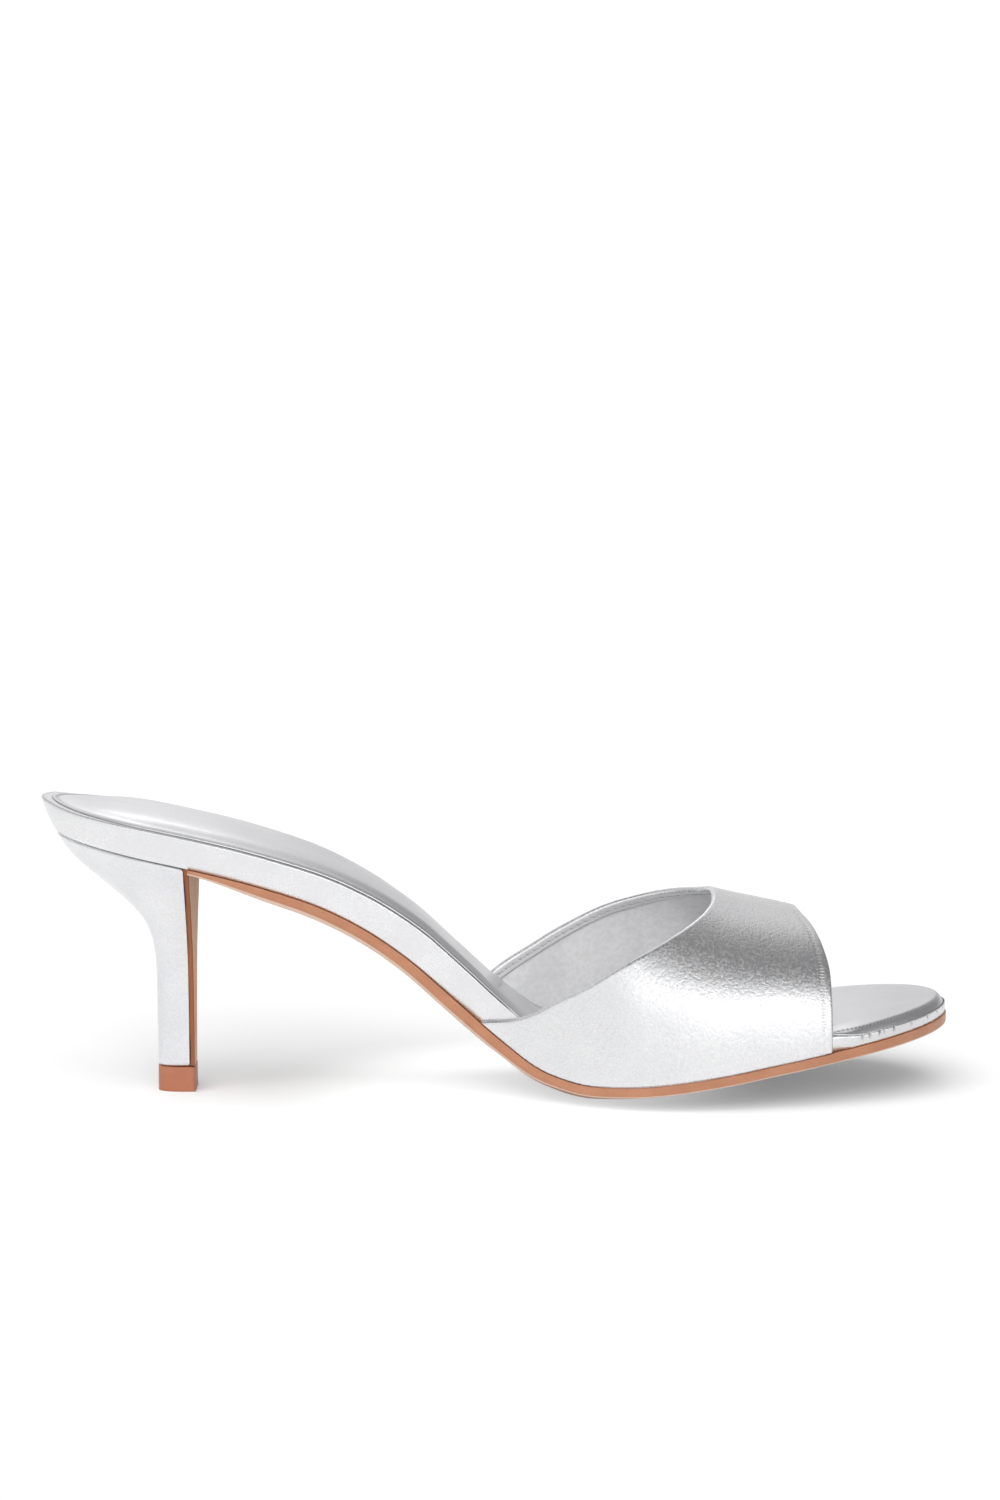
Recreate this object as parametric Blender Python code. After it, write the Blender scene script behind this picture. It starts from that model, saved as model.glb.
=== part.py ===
"""Open-toe mule with a slim heel, right shoe, standing empty on its sole.

Metres, +X towards the toe, +Y to the big-toe side, +Z up. The origin is on the floor, below
the middle of the shoe's box. Every piece is worked out from one last: a plan (how wide the
foot's bed is) and a profile (how high its edge runs), both read along the shoe's length.
"""

import math

import bmesh
import bpy

# Overall sizes of the last
LENGTH = 0.231          # bed, from the back of the seat to the tip of the toe
BALL_WIDTH = 0.075      # bed, across the ball
SEAT_RISE = 0.0625      # climb of the bed's lower edge from the ball to the back of the seat
BALL_LIFT = 0.0058      # the same edge above the floor at the ball
TOE_SPRING = 0.0131     # climb of the same edge from the ball to the toe tip
VAMP_HEIGHT = 0.0430    # ridge of the upper above the edge, at the front of the throat
RIDGE_SHIFT = 0.0050    # ridge of the upper, towards the big toe

# Walls, thicknesses and clearances
GAP = 0.0003            # between two pieces that are glued together
SOLE_EDGE = 0.0026      # outsole, at its edge along the ball and the toe
SOLE_LEDGE = 0.0002     # outsole past the bed's edge
SOLE_SKIVE = 0.0007     # how far the foot of the outsole's side is drawn in
SOLE_SOFT = 0.0002      # how far the corners of that side are
WAIST_CROWN = 0.0012    # outsole's belly below its edges, under the arch
BALL_CROWN = 0.0043     # the same at the ball
BED_DISH = 0.0028       # bed's hollow below its edges, at the ball
TOP_DISH = 0.0011       # the same on top of the padded insole
RIM_THICK = 0.0076      # padded insole, square to its slope, from the seat to the arch
TOE_THICK = 0.0042      # the same at the toe
SEAT_UNDERCUT = 0.0032  # foot of the insole's rim behind its top edge, at the back
SIDE_UNDERCUT = 0.0008  # the same along the sides
VAMP_REBATE = 0.0012    # insole's rim drawn in where the upper is wrapped round it
RIM_SOFT = 0.0005       # top corner of the rim
SOCK_EDGE = 0.0006      # sock lining, at its rolled edge
SOCK_CROWN = 0.0019     # sock lining's padding above that edge, at the seat
SOCK_INSET = 0.0008     # sock lining inside the rim
SOCK_BACK_INSET = 0.0026
SOCK_SOFT = 0.0006      # top corner of the sock lining
UPPER_WALL = 0.0018
UPPER_PROUD = 0.0009    # outside of the upper past the bed's edge

# Heel
TOP_PIECE_HEIGHT = 0.0064
TIP_DEPTH = 0.0082
TIP_WIDTH = 0.0095
TIP_SHIFT = -0.0015     # middle of the tip, towards the little toe
BREAST = 0.0373         # front face of the heel, from the back of the seat
BREAST_TURN = math.radians(2.5)
COVER_THICK = 0.0011    # cover on the heel's front face
COVER_LEVEL = 0.95      # the heel's level where that cover ends, below the outsole
TIP_SQUARE = 0.7        # 1 would make the tip's round back half an ellipse
TIP_BEVEL = 0.0004      # top piece, at its walking edge
TIP_FLARE = 0.0002      # how far it stands past the heel's tip

# The last, a row for each station: station, then the bed's half widths on the little-toe and
# big-toe side as shares of BALL_WIDTH, then shares of SEAT_RISE and of TOE_SPRING.
LAST = (
    (0.00, 0.320, 0.320, 1.000, 0.000),
    (0.03, 0.322, 0.318, 0.969, 0.000),
    (0.06, 0.325, 0.315, 0.946, 0.000),
    (0.10, 0.332, 0.311, 0.917, 0.000),
    (0.15, 0.340, 0.307, 0.878, 0.000),
    (0.20, 0.346, 0.301, 0.835, 0.000),
    (0.25, 0.344, 0.289, 0.782, 0.000),
    (0.30, 0.333, 0.264, 0.717, 0.000),
    (0.35, 0.315, 0.224, 0.622, 0.000),
    (0.40, 0.293, 0.189, 0.490, 0.000),
    (0.45, 0.285, 0.177, 0.323, 0.000),
    (0.50, 0.313, 0.203, 0.163, 0.000),
    (0.55, 0.373, 0.267, 0.040, 0.000),
    (0.60, 0.440, 0.360, 0.000, 0.000),
    (0.65, 0.487, 0.447, 0.000, 0.031),
    (0.70, 0.500, 0.493, 0.000, 0.130),
    (0.75, 0.489, 0.507, 0.000, 0.260),
    (0.80, 0.461, 0.493, 0.000, 0.412),
    (0.90, 0.424, 0.451, 0.000, 0.710),
    (1.00, 0.419, 0.440, 0.000, 1.000),
)
SEAT_ROUND = 0.125      # the seat is rounded up to this station
TOE_ROUND = 0.807       # and the toe from this one
WAIST_END = 0.47        # the bed starts to hollow here
BALL_START = 0.60       # and has its full hollow from here

# The outsole's thickness along the shoe, as shares of SOLE_EDGE. It is pared thin at the heel.
SOLE = ((0.00, 0.40), (0.16, 0.44), (0.25, 1.13), (0.33, 1.24), (0.45, 1.24), (0.58, 1.00),
        (1.00, 1.00))

# The upper's height over the bed's edge, as shares of VAMP_HEIGHT. Behind the throat it is
# the height that the instep would have.
RIDGE = ((0.47, 1.77), (0.54, 1.52), (0.60, 1.33), (0.65, 1.18), (0.70, 1.05), (0.75, 0.928),
         (0.80, 0.823), (0.835, 0.748), (0.87, 0.67))

# The upper's two edges: share of the way round from the little-toe side, station.
THROAT = ((0.000, 0.478), (0.014, 0.502), (0.040, 0.528), (0.078, 0.558), (0.125, 0.597),
          (0.180, 0.636), (0.240, 0.675), (0.300, 0.705), (0.360, 0.725), (0.430, 0.737),
          (0.520, 0.741), (0.590, 0.736), (0.650, 0.711), (0.700, 0.682), (0.750, 0.648),
          (0.800, 0.611), (0.850, 0.575), (0.900, 0.541), (0.950, 0.508), (1.000, 0.474))
TOE_EDGE = ((0.00, 0.860), (0.20, 0.860), (0.30, 0.855), (0.40, 0.847), (0.50, 0.838),
            (0.60, 0.838), (0.70, 0.844), (0.80, 0.851), (0.90, 0.857), (1.00, 0.859))
SIDE_BULGE = 0.85       # 1 would make the upper's sections true ellipses

# The heel: level from its tip to the seat, then how far its depth and its width have grown.
HEEL = ((0.00, 0.000, 0.000), (0.25, 0.004, 0.050), (0.46, 0.012, 0.130), (0.56, 0.035, 0.210),
        (0.655, 0.105, 0.330), (0.745, 0.275, 0.490), (0.80, 0.450, 0.590), (0.85, 0.612, 0.700),
        (0.895, 0.770, 0.800), (0.94, 0.890, 0.890), (1.00, 1.000, 1.000))

# How finely the solids are faceted
STATIONS = 40
ACROSS = 8
ROUND_UPPER = 44
ALONG_UPPER = 14
ROUND_HEEL = 24
COVER_ROWS = 16
COVER_ACROSS = 6


def curve(table, place, column=1):
    """A table's column as a smooth curve that never swings past its rows."""
    knots = [row[0] for row in table]
    values = [row[column] for row in table]
    place = min(max(place, knots[0]), knots[-1])
    last = len(knots) - 1
    slopes = [(values[i + 1] - values[i]) / (knots[i + 1] - knots[i]) for i in range(last)]

    def tangent(i):
        if i == 0:
            return slopes[0]
        if i == last:
            return slopes[-1]
        before = slopes[i - 1]
        after = slopes[i]
        return 2 * before * after / (before + after) if before * after > 0 else 0.0

    i = 0
    while i < last - 1 and place > knots[i + 1]:
        i += 1
    span = knots[i + 1] - knots[i]
    t = (place - knots[i]) / span
    return (values[i] * (1 + 2 * t) * (1 - t) ** 2 + span * tangent(i) * t * (1 - t) ** 2
            + values[i + 1] * t * t * (3 - 2 * t) + span * tangent(i + 1) * t * t * (t - 1))


def ease(start, end, place):
    """0 before start, 1 after end, smooth between."""
    t = min(max((place - start) / (end - start), 0.0), 1.0)
    return t * t * (3 - 2 * t)


def station_of(x):
    return x / LENGTH + 0.5


def x_of(station):
    return (station - 0.5) * LENGTH


# The last's profile

def edge_height(x):
    """Height of the bed's lower edge, where the insole meets the outsole and the heel."""
    station = station_of(x)
    return (BALL_LIFT + SEAT_RISE * curve(LAST, station, 3)
            + TOE_SPRING * curve(LAST, station, 4))


def slope_at(x):
    step = 0.01 * LENGTH
    return math.atan((edge_height(x + step) - edge_height(x - step)) / (2 * step))


def forefoot(station):
    """Share of the ball's hollow and crown: none in the waist, fading to the toe."""
    return ease(WAIST_END, BALL_START, station) * (1 - 0.6 * ease(0.72, 1.0, station))


def inward(x, across):
    """0 at the bed's edge, 1 in its middle. across runs from -1 at the little-toe edge to 1."""
    toe = min(max((station_of(x) - TOE_ROUND) / (1 - TOE_ROUND), 0.0), 1.0)
    return (1 - across ** 2) * (1 - toe ** 2)


def bed_height(x, across):
    return edge_height(x) - BED_DISH * forefoot(station_of(x)) * inward(x, across)


def insole_thickness(x):
    square = RIM_THICK + (TOE_THICK - RIM_THICK) * ease(0.52, 0.78, station_of(x))
    return square / math.cos(slope_at(x))


def sole_bottom(x, across):
    """Underside of the outsole, with the flat spot that the ball stands on."""
    station = station_of(x)
    crown = WAIST_CROWN + (BALL_CROWN - WAIST_CROWN) * forefoot(station)
    crown *= ease(0.15, 0.30, station)
    edge = edge_height(x) - SOLE_EDGE * curve(SOLE, station) / math.cos(slope_at(x))
    return max(edge - crown * inward(x, across), 0.0)


# The last's plan

def half_width(station, side):
    """side is -1 for the little toe and 1 for the big toe."""
    width = BALL_WIDTH * curve(LAST, station, 1 if side < 0 else 2)
    if station < SEAT_ROUND:
        width *= math.sqrt(max(1 - (1 - station / SEAT_ROUND) ** 2, 0.0))
    if station > TOE_ROUND:
        width *= math.sqrt(max(1 - ((station - TOE_ROUND) / (1 - TOE_ROUND)) ** 2, 0.0))
    return width


def upper_zone(station):
    """1 where the upper is wrapped round the insole, 0 at the seat and the toe."""
    return ease(0.38, 0.47, station) * (1 - ease(0.866, 0.885, station))


def undercut(station):
    back = (SEAT_UNDERCUT - SIDE_UNDERCUT) * (1 - ease(0.0, 0.14, station))
    return back + SIDE_UNDERCUT * (1 - 0.7 * ease(0.2, 0.5, station))


def stations(start):
    """Stations from start to the toe, closer together where the outline is round."""
    count = STATIONS
    if start > 0:
        return [start + (1 - start) * math.sin(math.pi / 2 * i / count) for i in range(count + 1)]
    return [0.5 - 0.5 * math.cos(math.pi * i / count) for i in range(count + 1)]


def turn_x(station, y):
    """How far a row across the outsole leans with the heel's turned front face."""
    return math.tan(BREAST_TURN) * y * (1 - ease(BREAST / LENGTH, 0.32, station))


def outline(places, inset):
    """The plan's edge as pairs of points, a little-toe and a big-toe one for each station.

    inset(station) moves the edge inwards, square to it. A negative inset moves it out.
    """
    sides = {}
    for side in (-1, 1):
        ys = [side * half_width(s, side) for s in places]
        lean = 1 if places[0] > 0 else 0
        sides[side] = [(x_of(s) + lean * turn_x(s, y), y) for s, y in zip(places, ys)]
    pairs = []
    for i, station in enumerate(places):
        pair = []
        for side in (-1, 1):
            run = sides[side]
            other = sides[-side]
            x, y = run[i]
            behind = run[i - 1] if i > 0 else (other[1] if places[0] == 0 else run[0])
            ahead = run[i + 1] if i < len(places) - 1 else other[-2]
            dx = ahead[0] - behind[0]
            dy = ahead[1] - behind[1]
            size = math.hypot(dx, dy)
            depth = inset(station)
            if places[0] > 0 and i == 0:
                pair.append((x - side * depth * math.tan(BREAST_TURN), y - side * depth))
            else:
                pair.append((x + side * depth * dy / size, y - side * depth * dx / size))
        pairs.append(tuple(pair))
    return pairs


# Making solids

def add_object(name, bm, material):
    bmesh.ops.recalc_face_normals(bm, faces=bm.faces)
    bmesh.ops.triangulate(bm, faces=[f for f in bm.faces if len(f.verts) > 4])
    mesh = bpy.data.meshes.new(name)
    bm.to_mesh(mesh)
    bm.free()
    mesh.shade_smooth()
    mesh.set_sharp_from_angle(angle=math.radians(40))
    piece = bpy.data.objects.new(name, mesh)
    piece.data.materials.append(material)
    shoe.objects.link(piece)
    piece.parent = floor_point
    return piece


def across_row(bm, pair, ends, surface):
    """Vertices over one station, between its two side vertices."""
    (x0, y0), (x1, y1) = pair
    row = [ends[0]]
    for j in range(1, ACROSS):
        t = j / ACROSS
        x = x0 + (x1 - x0) * t
        y = y0 + (y1 - y0) * t
        row.append(bm.verts.new((x, y, surface(x, 2 * t - 1))))
    row.append(ends[1])
    return row


def cover_side(bm, pairs, rows, surface, closed_start):
    """Faces of a slab's top or bottom. rows holds the side vertices of each station."""
    grid = []
    for i, pair in enumerate(pairs):
        if i == len(pairs) - 1 or (i == 0 and closed_start):
            grid.append([rows[i][0]] * (ACROSS + 1))
        else:
            grid.append(across_row(bm, pair, rows[i], surface))
    for i in range(len(grid) - 1):
        for j in range(ACROSS):
            corners = [grid[i][j], grid[i][j + 1], grid[i + 1][j + 1], grid[i + 1][j]]
            face = [v for k, v in enumerate(corners) if v is not corners[k - 1]]
            bm.faces.new(face)
    return grid[0]


def slab(name, material, start, side_rows, bottom, top):
    """A sheet that follows the plan from a station to the toe.

    side_rows lists (inset, share) from the foot of its side to the top: how far in, and how
    far up between bottom(x, across) and top(x, across).
    """
    bm = bmesh.new()
    places = stations(start)
    closed_start = start == 0
    rings = []
    outlines = []
    for inset, share in side_rows:
        pairs = outline(places, inset)
        ring = []
        for i, pair in enumerate(pairs):
            point = closed_start and i == 0 or i == len(pairs) - 1
            verts = []
            for side, (x, y) in zip((-1, 1), pair):
                if point and verts:
                    verts.append(verts[0])
                    continue
                low = bottom(x, side)
                verts.append(bm.verts.new((x, 0.0 if point else y, low + (top(x, side) - low) * share)))
            ring.append(verts)
        rings.append(ring)
        outlines.append(pairs)
    for lower, higher in zip(rings, rings[1:]):
        for i in range(len(places) - 1):
            for side in (0, 1):
                bm.faces.new((lower[i][side], lower[i + 1][side],
                              higher[i + 1][side], higher[i][side]))
    under = cover_side(bm, outlines[0], rings[0], bottom, closed_start)
    over = cover_side(bm, outlines[-1], rings[-1], top, closed_start)
    if not closed_start:
        rise = [ring[0][1] for ring in rings[1:-1]]
        fall = [ring[0][0] for ring in rings[-2:0:-1]]
        bm.faces.new(under + rise + over[::-1] + fall)
    return add_object(name, bm, material)


def loft(name, material, rings):
    """A closed solid through rings of points, all with as many points."""
    bm = bmesh.new()
    rows = [[bm.verts.new(point) for point in ring] for ring in rings]
    count = len(rows[0])
    for lower, higher in zip(rows, rows[1:]):
        for i in range(count):
            j = (i + 1) % count
            bm.faces.new((lower[i], lower[j], higher[j], higher[i]))
    bm.faces.new(rows[0])
    bm.faces.new(rows[-1])
    return add_object(name, bm, material)


# The pieces

def make_outsole(material):
    def ledge(extra):
        return lambda s: extra - SOLE_LEDGE

    rows = ((ledge(SOLE_SKIVE), 0.0), (ledge(SOLE_SOFT), 0.3), (ledge(0.0), 0.6),
            (ledge(SOLE_SOFT), 1.0))
    start = (BREAST + GAP) / LENGTH
    return slab("outsole", material, start, rows, sole_bottom,
                lambda x, across: bed_height(x, across) - GAP / 2)


def insole_top(x, across):
    """Top of the padded insole, dished a little less than the bed."""
    dish = TOP_DISH * forefoot(station_of(x)) * inward(x, across)
    return edge_height(x) + insole_thickness(x) - dish


def make_insole(material):
    def side(lean, extra):
        return lambda s: lean * undercut(s) + VAMP_REBATE * upper_zone(s) + extra

    rows = ((side(1.0, 0.0), 0.0), (side(0.35, 0.0), 0.45), (side(0.0, 0.0), 0.85),
            (side(0.0, RIM_SOFT), 1.0))
    return slab("insole", material, 0, rows,
                lambda x, across: bed_height(x, across) + GAP / 2, insole_top)


def sock_inset(station):
    back = (SOCK_BACK_INSET - SOCK_INSET) * (1 - ease(0.0, 0.12, station))
    return SOCK_INSET + back + VAMP_REBATE * upper_zone(station)


def sock_top(x, across):
    station = station_of(x)
    padding = SOCK_CROWN * (1 - 0.45 * ease(0.25, 0.6, station))
    ends = min(ease(-0.01, 0.13, station), 1 - ease(0.92, 1.01, station))
    return insole_top(x, across) + GAP + SOCK_EDGE + padding * ends * (1 - across ** 4)


def make_sock(material):
    def side(extra):
        return lambda s: sock_inset(s) + extra

    rows = ((side(SOCK_SOFT / 3), 0.0), (side(0.0), 0.5), (side(SOCK_SOFT), 1.0))
    return slab("sock", material, 0, rows,
                lambda x, across: insole_top(x, across) + GAP, sock_top)


def upper_point(station, turn, outside):
    """A point of the upper. turn is 0 at the little-toe side's foot and 1 at the other."""
    if outside:
        reach = UPPER_PROUD * (0.4 + 0.6 * ease(0.478, 0.57, station))
        height = VAMP_HEIGHT * curve(RIDGE, station)
    else:
        reach = UPPER_PROUD - UPPER_WALL
        height = VAMP_HEIGHT * curve(RIDGE, station) - UPPER_WALL
    angle = math.pi * turn
    sideways = abs(math.cos(angle)) ** SIDE_BULGE
    side = -1 if turn < 0.5 else 1
    foot = side * (half_width(station, side) + reach)
    y = RIDGE_SHIFT + (foot - RIDGE_SHIFT) * sideways
    x = x_of(station)
    z = edge_height(x) + GAP / 2 + height * max(math.sin(angle), 0.0) ** SIDE_BULGE
    return x, y, z


def make_upper(material):
    bm = bmesh.new()
    turns = [0.5 - 0.5 * math.cos(math.pi * j / ROUND_UPPER) for j in range(ROUND_UPPER + 1)]
    sheets = []
    for outside in (True, False):
        rows = []
        for i in range(ALONG_UPPER + 1):
            row = []
            for turn in turns:
                back = curve(THROAT, turn)
                front = curve(TOE_EDGE, turn)
                station = back + (front - back) * i / ALONG_UPPER
                row.append(bm.verts.new(upper_point(station, turn, outside)))
            rows.append(row)
        sheets.append(rows)
    for rows in sheets:
        for i in range(ALONG_UPPER):
            for j in range(ROUND_UPPER):
                bm.faces.new((rows[i][j], rows[i][j + 1], rows[i + 1][j + 1], rows[i + 1][j]))
    outer, inner = sheets
    rims = ([(outer[0][j], inner[0][j]) for j in range(ROUND_UPPER + 1)],
            [(outer[-1][j], inner[-1][j]) for j in range(ROUND_UPPER + 1)],
            [(outer[i][0], inner[i][0]) for i in range(ALONG_UPPER + 1)],
            [(outer[i][-1], inner[i][-1]) for i in range(ALONG_UPPER + 1)])
    for rim in rims:
        for (a, b), (c, d) in zip(rim, rim[1:]):
            bm.faces.new((a, c, d, b))
    return add_object("upper", bm, material)


def breast_x(y):
    """Where the heel's front face is. It is turned a little towards the little toe."""
    return BREAST - LENGTH / 2 + math.tan(BREAST_TURN) * y


def tip_ring(depth, grow=0.0):
    """Round back and straight front of the heel's tip, from its little-toe front corner."""
    points = []
    for i in range(ROUND_HEEL + 1):
        angle = math.pi * i / ROUND_HEEL
        aside = math.copysign(abs(math.cos(angle)) ** TIP_SQUARE, math.cos(angle))
        y = TIP_SHIFT - (TIP_WIDTH / 2 + grow) * aside
        back = (depth + grow) * math.sin(angle) ** TIP_SQUARE
        points.append((breast_x(y) - back, y))
    return points


def seat_ring():
    """The insole's foot behind the heel's front face, in the same order as tip_ring."""
    start = BREAST / LENGTH
    half = ROUND_HEEL // 2
    places = [start * (1 - math.sin(math.pi / 2 * i / half)) for i in range(half + 1)]
    places[-1] = 0.0
    back_to_front = outline(places[::-1], lambda s: undercut(s) + GAP)
    back_to_front[0] = ((x_of(0.0) + SEAT_UNDERCUT + GAP, 0.0),) * 2
    lateral = [pair[0] for pair in back_to_front[::-1]]
    medial = [pair[1] for pair in back_to_front[1:]]
    ring = lateral + medial
    ring[0] = (breast_x(ring[0][1]), ring[0][1])
    ring[-1] = (breast_x(ring[-1][1]), ring[-1][1])
    return ring


def heel_section(level):
    """Plan of the heel at a level from 0 at its tip to 1 at the seat."""
    deep = curve(HEEL, level, 1)
    wide = curve(HEEL, level, 2)
    points = []
    for (tip_x, tip_y), (seat_x, seat_y) in zip(tip_ring(TIP_DEPTH), seat_ring()):
        y = tip_y + (seat_y - tip_y) * wide
        tip_back = breast_x(tip_y) - tip_x
        seat_back = breast_x(seat_y) - seat_x
        points.append((breast_x(y) - tip_back - (seat_back - tip_back) * deep, y))
    return points


def heel_height(x, level):
    foot = TOP_PIECE_HEIGHT + GAP
    return foot + (edge_height(x) - GAP / 2 - foot) * level


def heel_levels():
    """Levels of the table, with one more between each two."""
    marks = [row[0] for row in HEEL]
    middles = [(a + b) / 2 for a, b in zip(marks, marks[1:])]
    return sorted(marks + middles)


def make_heel(material):
    rings = []
    for level in heel_levels():
        rings.append([(x, y, heel_height(x, level)) for x, y in heel_section(level)])
    return loft("heel", material, rings)


def make_breast_cover(material):
    """Thin cover on the heel's front face, from the top piece up to the outsole."""
    rings = []
    foot = TOP_PIECE_HEIGHT + GAP
    for k in range(COVER_ROWS + 1):
        front = []
        back = []
        share = k / COVER_ROWS
        section = heel_section(share * COVER_LEVEL)
        for j in range(COVER_ACROSS + 1):
            y = section[0][1] + (section[-1][1] - section[0][1]) * j / COVER_ACROSS
            for row, x in ((back, breast_x(y) + GAP), (front, breast_x(y) + GAP + COVER_THICK)):
                under = sole_bottom(x, 2 * j / COVER_ACROSS - 1) - GAP
                row.append((x, y, foot + (under - foot) * share))
        rings.append(back + front[::-1])
    return loft("heel_breast_cover", material, rings)


def make_top_piece(material):
    rings = []
    depth = TIP_DEPTH + GAP + COVER_THICK
    ahead = GAP + COVER_THICK
    for grow, z in ((-TIP_BEVEL, 0.0), (TIP_FLARE / 2, TIP_BEVEL), (TIP_FLARE, 3 * TIP_BEVEL),
                    (TIP_FLARE / 2, TOP_PIECE_HEIGHT)):
        rings.append([(x + ahead + grow, y, z) for x, y in tip_ring(depth, grow)])
    return loft("top_piece", material, rings)


def finish_colour(name, colour, roughness, metallic=0.0):
    material = bpy.data.materials.new(name)
    material.use_nodes = True
    shader = material.node_tree.nodes["Principled BSDF"]
    shader.inputs["Base Color"].default_value = (*colour, 1.0)
    shader.inputs["Roughness"].default_value = roughness
    shader.inputs["Metallic"].default_value = metallic
    return material


def stand_on_floor_point(pieces):
    """Move the shoe so that the middle of its box's bottom is the origin."""
    corners = [v.co for piece in pieces for v in piece.data.vertices]
    middle = [(min(c[i] for c in corners) + max(c[i] for c in corners)) / 2 for i in (0, 1)]
    floor_point.location = (-middle[0], -middle[1], 0.0)


for old in list(bpy.data.objects):
    bpy.data.objects.remove(old, do_unlink=True)

shoe = bpy.data.collections.new("open_toe_mule")
bpy.context.scene.collection.children.link(shoe)
floor_point = bpy.data.objects.new("floor_point", None)
shoe.objects.link(floor_point)

silver = finish_colour("silver_leather", (0.78, 0.78, 0.79), 0.3, 0.9)
silver_heel = finish_colour("silver_heel_cover", (0.80, 0.80, 0.81), 0.35, 0.85)
silver_sock = finish_colour("silver_sock_leather", (0.74, 0.74, 0.75), 0.4, 0.8)
tan = finish_colour("tan_sole", (0.50, 0.25, 0.14), 0.45)
tan_cover = finish_colour("tan_heel_cover", (0.46, 0.22, 0.12), 0.45)
terracotta = finish_colour("terracotta_top_piece", (0.48, 0.19, 0.09), 0.5)

stand_on_floor_point([
    make_outsole(tan),
    make_insole(silver),
    make_sock(silver_sock),
    make_upper(silver),
    make_heel(silver_heel),
    make_breast_cover(tan_cover),
    make_top_piece(terracotta),
])
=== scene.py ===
# %% [markdown]
# # An open-toe mule in silver leather, right shoe
# The real shoe is a padded bed wrapped in foil leather, one wide band over the forefoot, a thin
# tan leather sole and a slim covered heel. A shoemaker works all of it out from one last, so this
# script does too: a plan and a profile of the last first, then one skin of fine mesh for each
# piece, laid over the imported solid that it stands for.

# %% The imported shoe
import math

import bmesh
import bpy
from mathutils import Matrix, Vector


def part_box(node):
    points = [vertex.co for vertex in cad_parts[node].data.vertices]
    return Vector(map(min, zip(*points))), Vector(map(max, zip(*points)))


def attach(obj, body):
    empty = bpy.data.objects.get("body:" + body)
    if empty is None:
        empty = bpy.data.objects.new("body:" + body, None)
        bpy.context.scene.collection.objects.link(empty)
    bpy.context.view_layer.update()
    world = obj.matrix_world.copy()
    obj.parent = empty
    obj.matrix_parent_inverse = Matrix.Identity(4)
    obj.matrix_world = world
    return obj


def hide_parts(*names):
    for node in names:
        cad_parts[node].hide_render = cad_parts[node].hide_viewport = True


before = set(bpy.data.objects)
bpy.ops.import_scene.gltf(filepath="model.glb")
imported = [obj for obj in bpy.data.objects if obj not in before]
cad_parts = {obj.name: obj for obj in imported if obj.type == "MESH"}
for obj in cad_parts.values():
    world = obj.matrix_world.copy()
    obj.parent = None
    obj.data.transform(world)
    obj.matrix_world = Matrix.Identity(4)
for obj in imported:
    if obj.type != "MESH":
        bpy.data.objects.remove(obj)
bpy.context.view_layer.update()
MM = 0.001
print("packed nodes:", ", ".join(sorted(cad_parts)))

# %% [markdown]
# ## The last
# The same named sizes and share tables as in the part's source. The tables are short, so a curve
# is drawn through each of them and then averaged over a short stretch. A fine mesh shows every
# kink in its reflections, and averaging removes the kinks without moving the form.

# %% Sizes of the last
LENGTH = 0.231
BALL_WIDTH = 0.075
SEAT_RISE = 0.0625
BALL_LIFT = 0.0058
TOE_SPRING = 0.0131
VAMP_HEIGHT = 0.0430
RIDGE_SHIFT = 0.0050
GAP = 0.0003
SEAT_ROUND = 0.125
TOE_ROUND = 0.807
SIDE_BULGE = 0.85

# A row for each station: half widths on the little-toe and big-toe side as shares of
# BALL_WIDTH, then shares of SEAT_RISE and of TOE_SPRING.
LAST = (
    (0.00, 0.320, 0.320, 1.000, 0.000),
    (0.03, 0.322, 0.318, 0.969, 0.000),
    (0.06, 0.325, 0.315, 0.946, 0.000),
    (0.10, 0.332, 0.311, 0.917, 0.000),
    (0.15, 0.340, 0.307, 0.878, 0.000),
    (0.20, 0.346, 0.301, 0.835, 0.000),
    (0.25, 0.344, 0.289, 0.782, 0.000),
    (0.30, 0.333, 0.264, 0.717, 0.000),
    (0.35, 0.315, 0.224, 0.622, 0.000),
    (0.40, 0.293, 0.189, 0.490, 0.000),
    (0.45, 0.285, 0.177, 0.323, 0.000),
    (0.50, 0.313, 0.203, 0.163, 0.000),
    (0.55, 0.373, 0.267, 0.040, 0.000),
    (0.60, 0.440, 0.360, 0.000, 0.000),
    (0.65, 0.487, 0.447, 0.000, 0.031),
    (0.70, 0.500, 0.493, 0.000, 0.130),
    (0.75, 0.489, 0.507, 0.000, 0.260),
    (0.80, 0.461, 0.493, 0.000, 0.412),
    (0.90, 0.424, 0.451, 0.000, 0.710),
    (1.00, 0.419, 0.440, 0.000, 1.000),
)
# The outsole's thickness as shares of SOLE_EDGE. It is pared thin at the heel.
SOLE = ((0.00, 0.40), (0.16, 0.44), (0.25, 1.13), (0.33, 1.24), (0.45, 1.24), (0.58, 1.00),
        (1.00, 1.00))
# Height of the vamp over the bed's edge, as shares of VAMP_HEIGHT.
RIDGE = ((0.47, 1.77), (0.54, 1.52), (0.60, 1.33), (0.65, 1.18), (0.70, 1.05), (0.75, 0.928),
         (0.80, 0.823), (0.835, 0.748), (0.87, 0.67))
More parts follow.
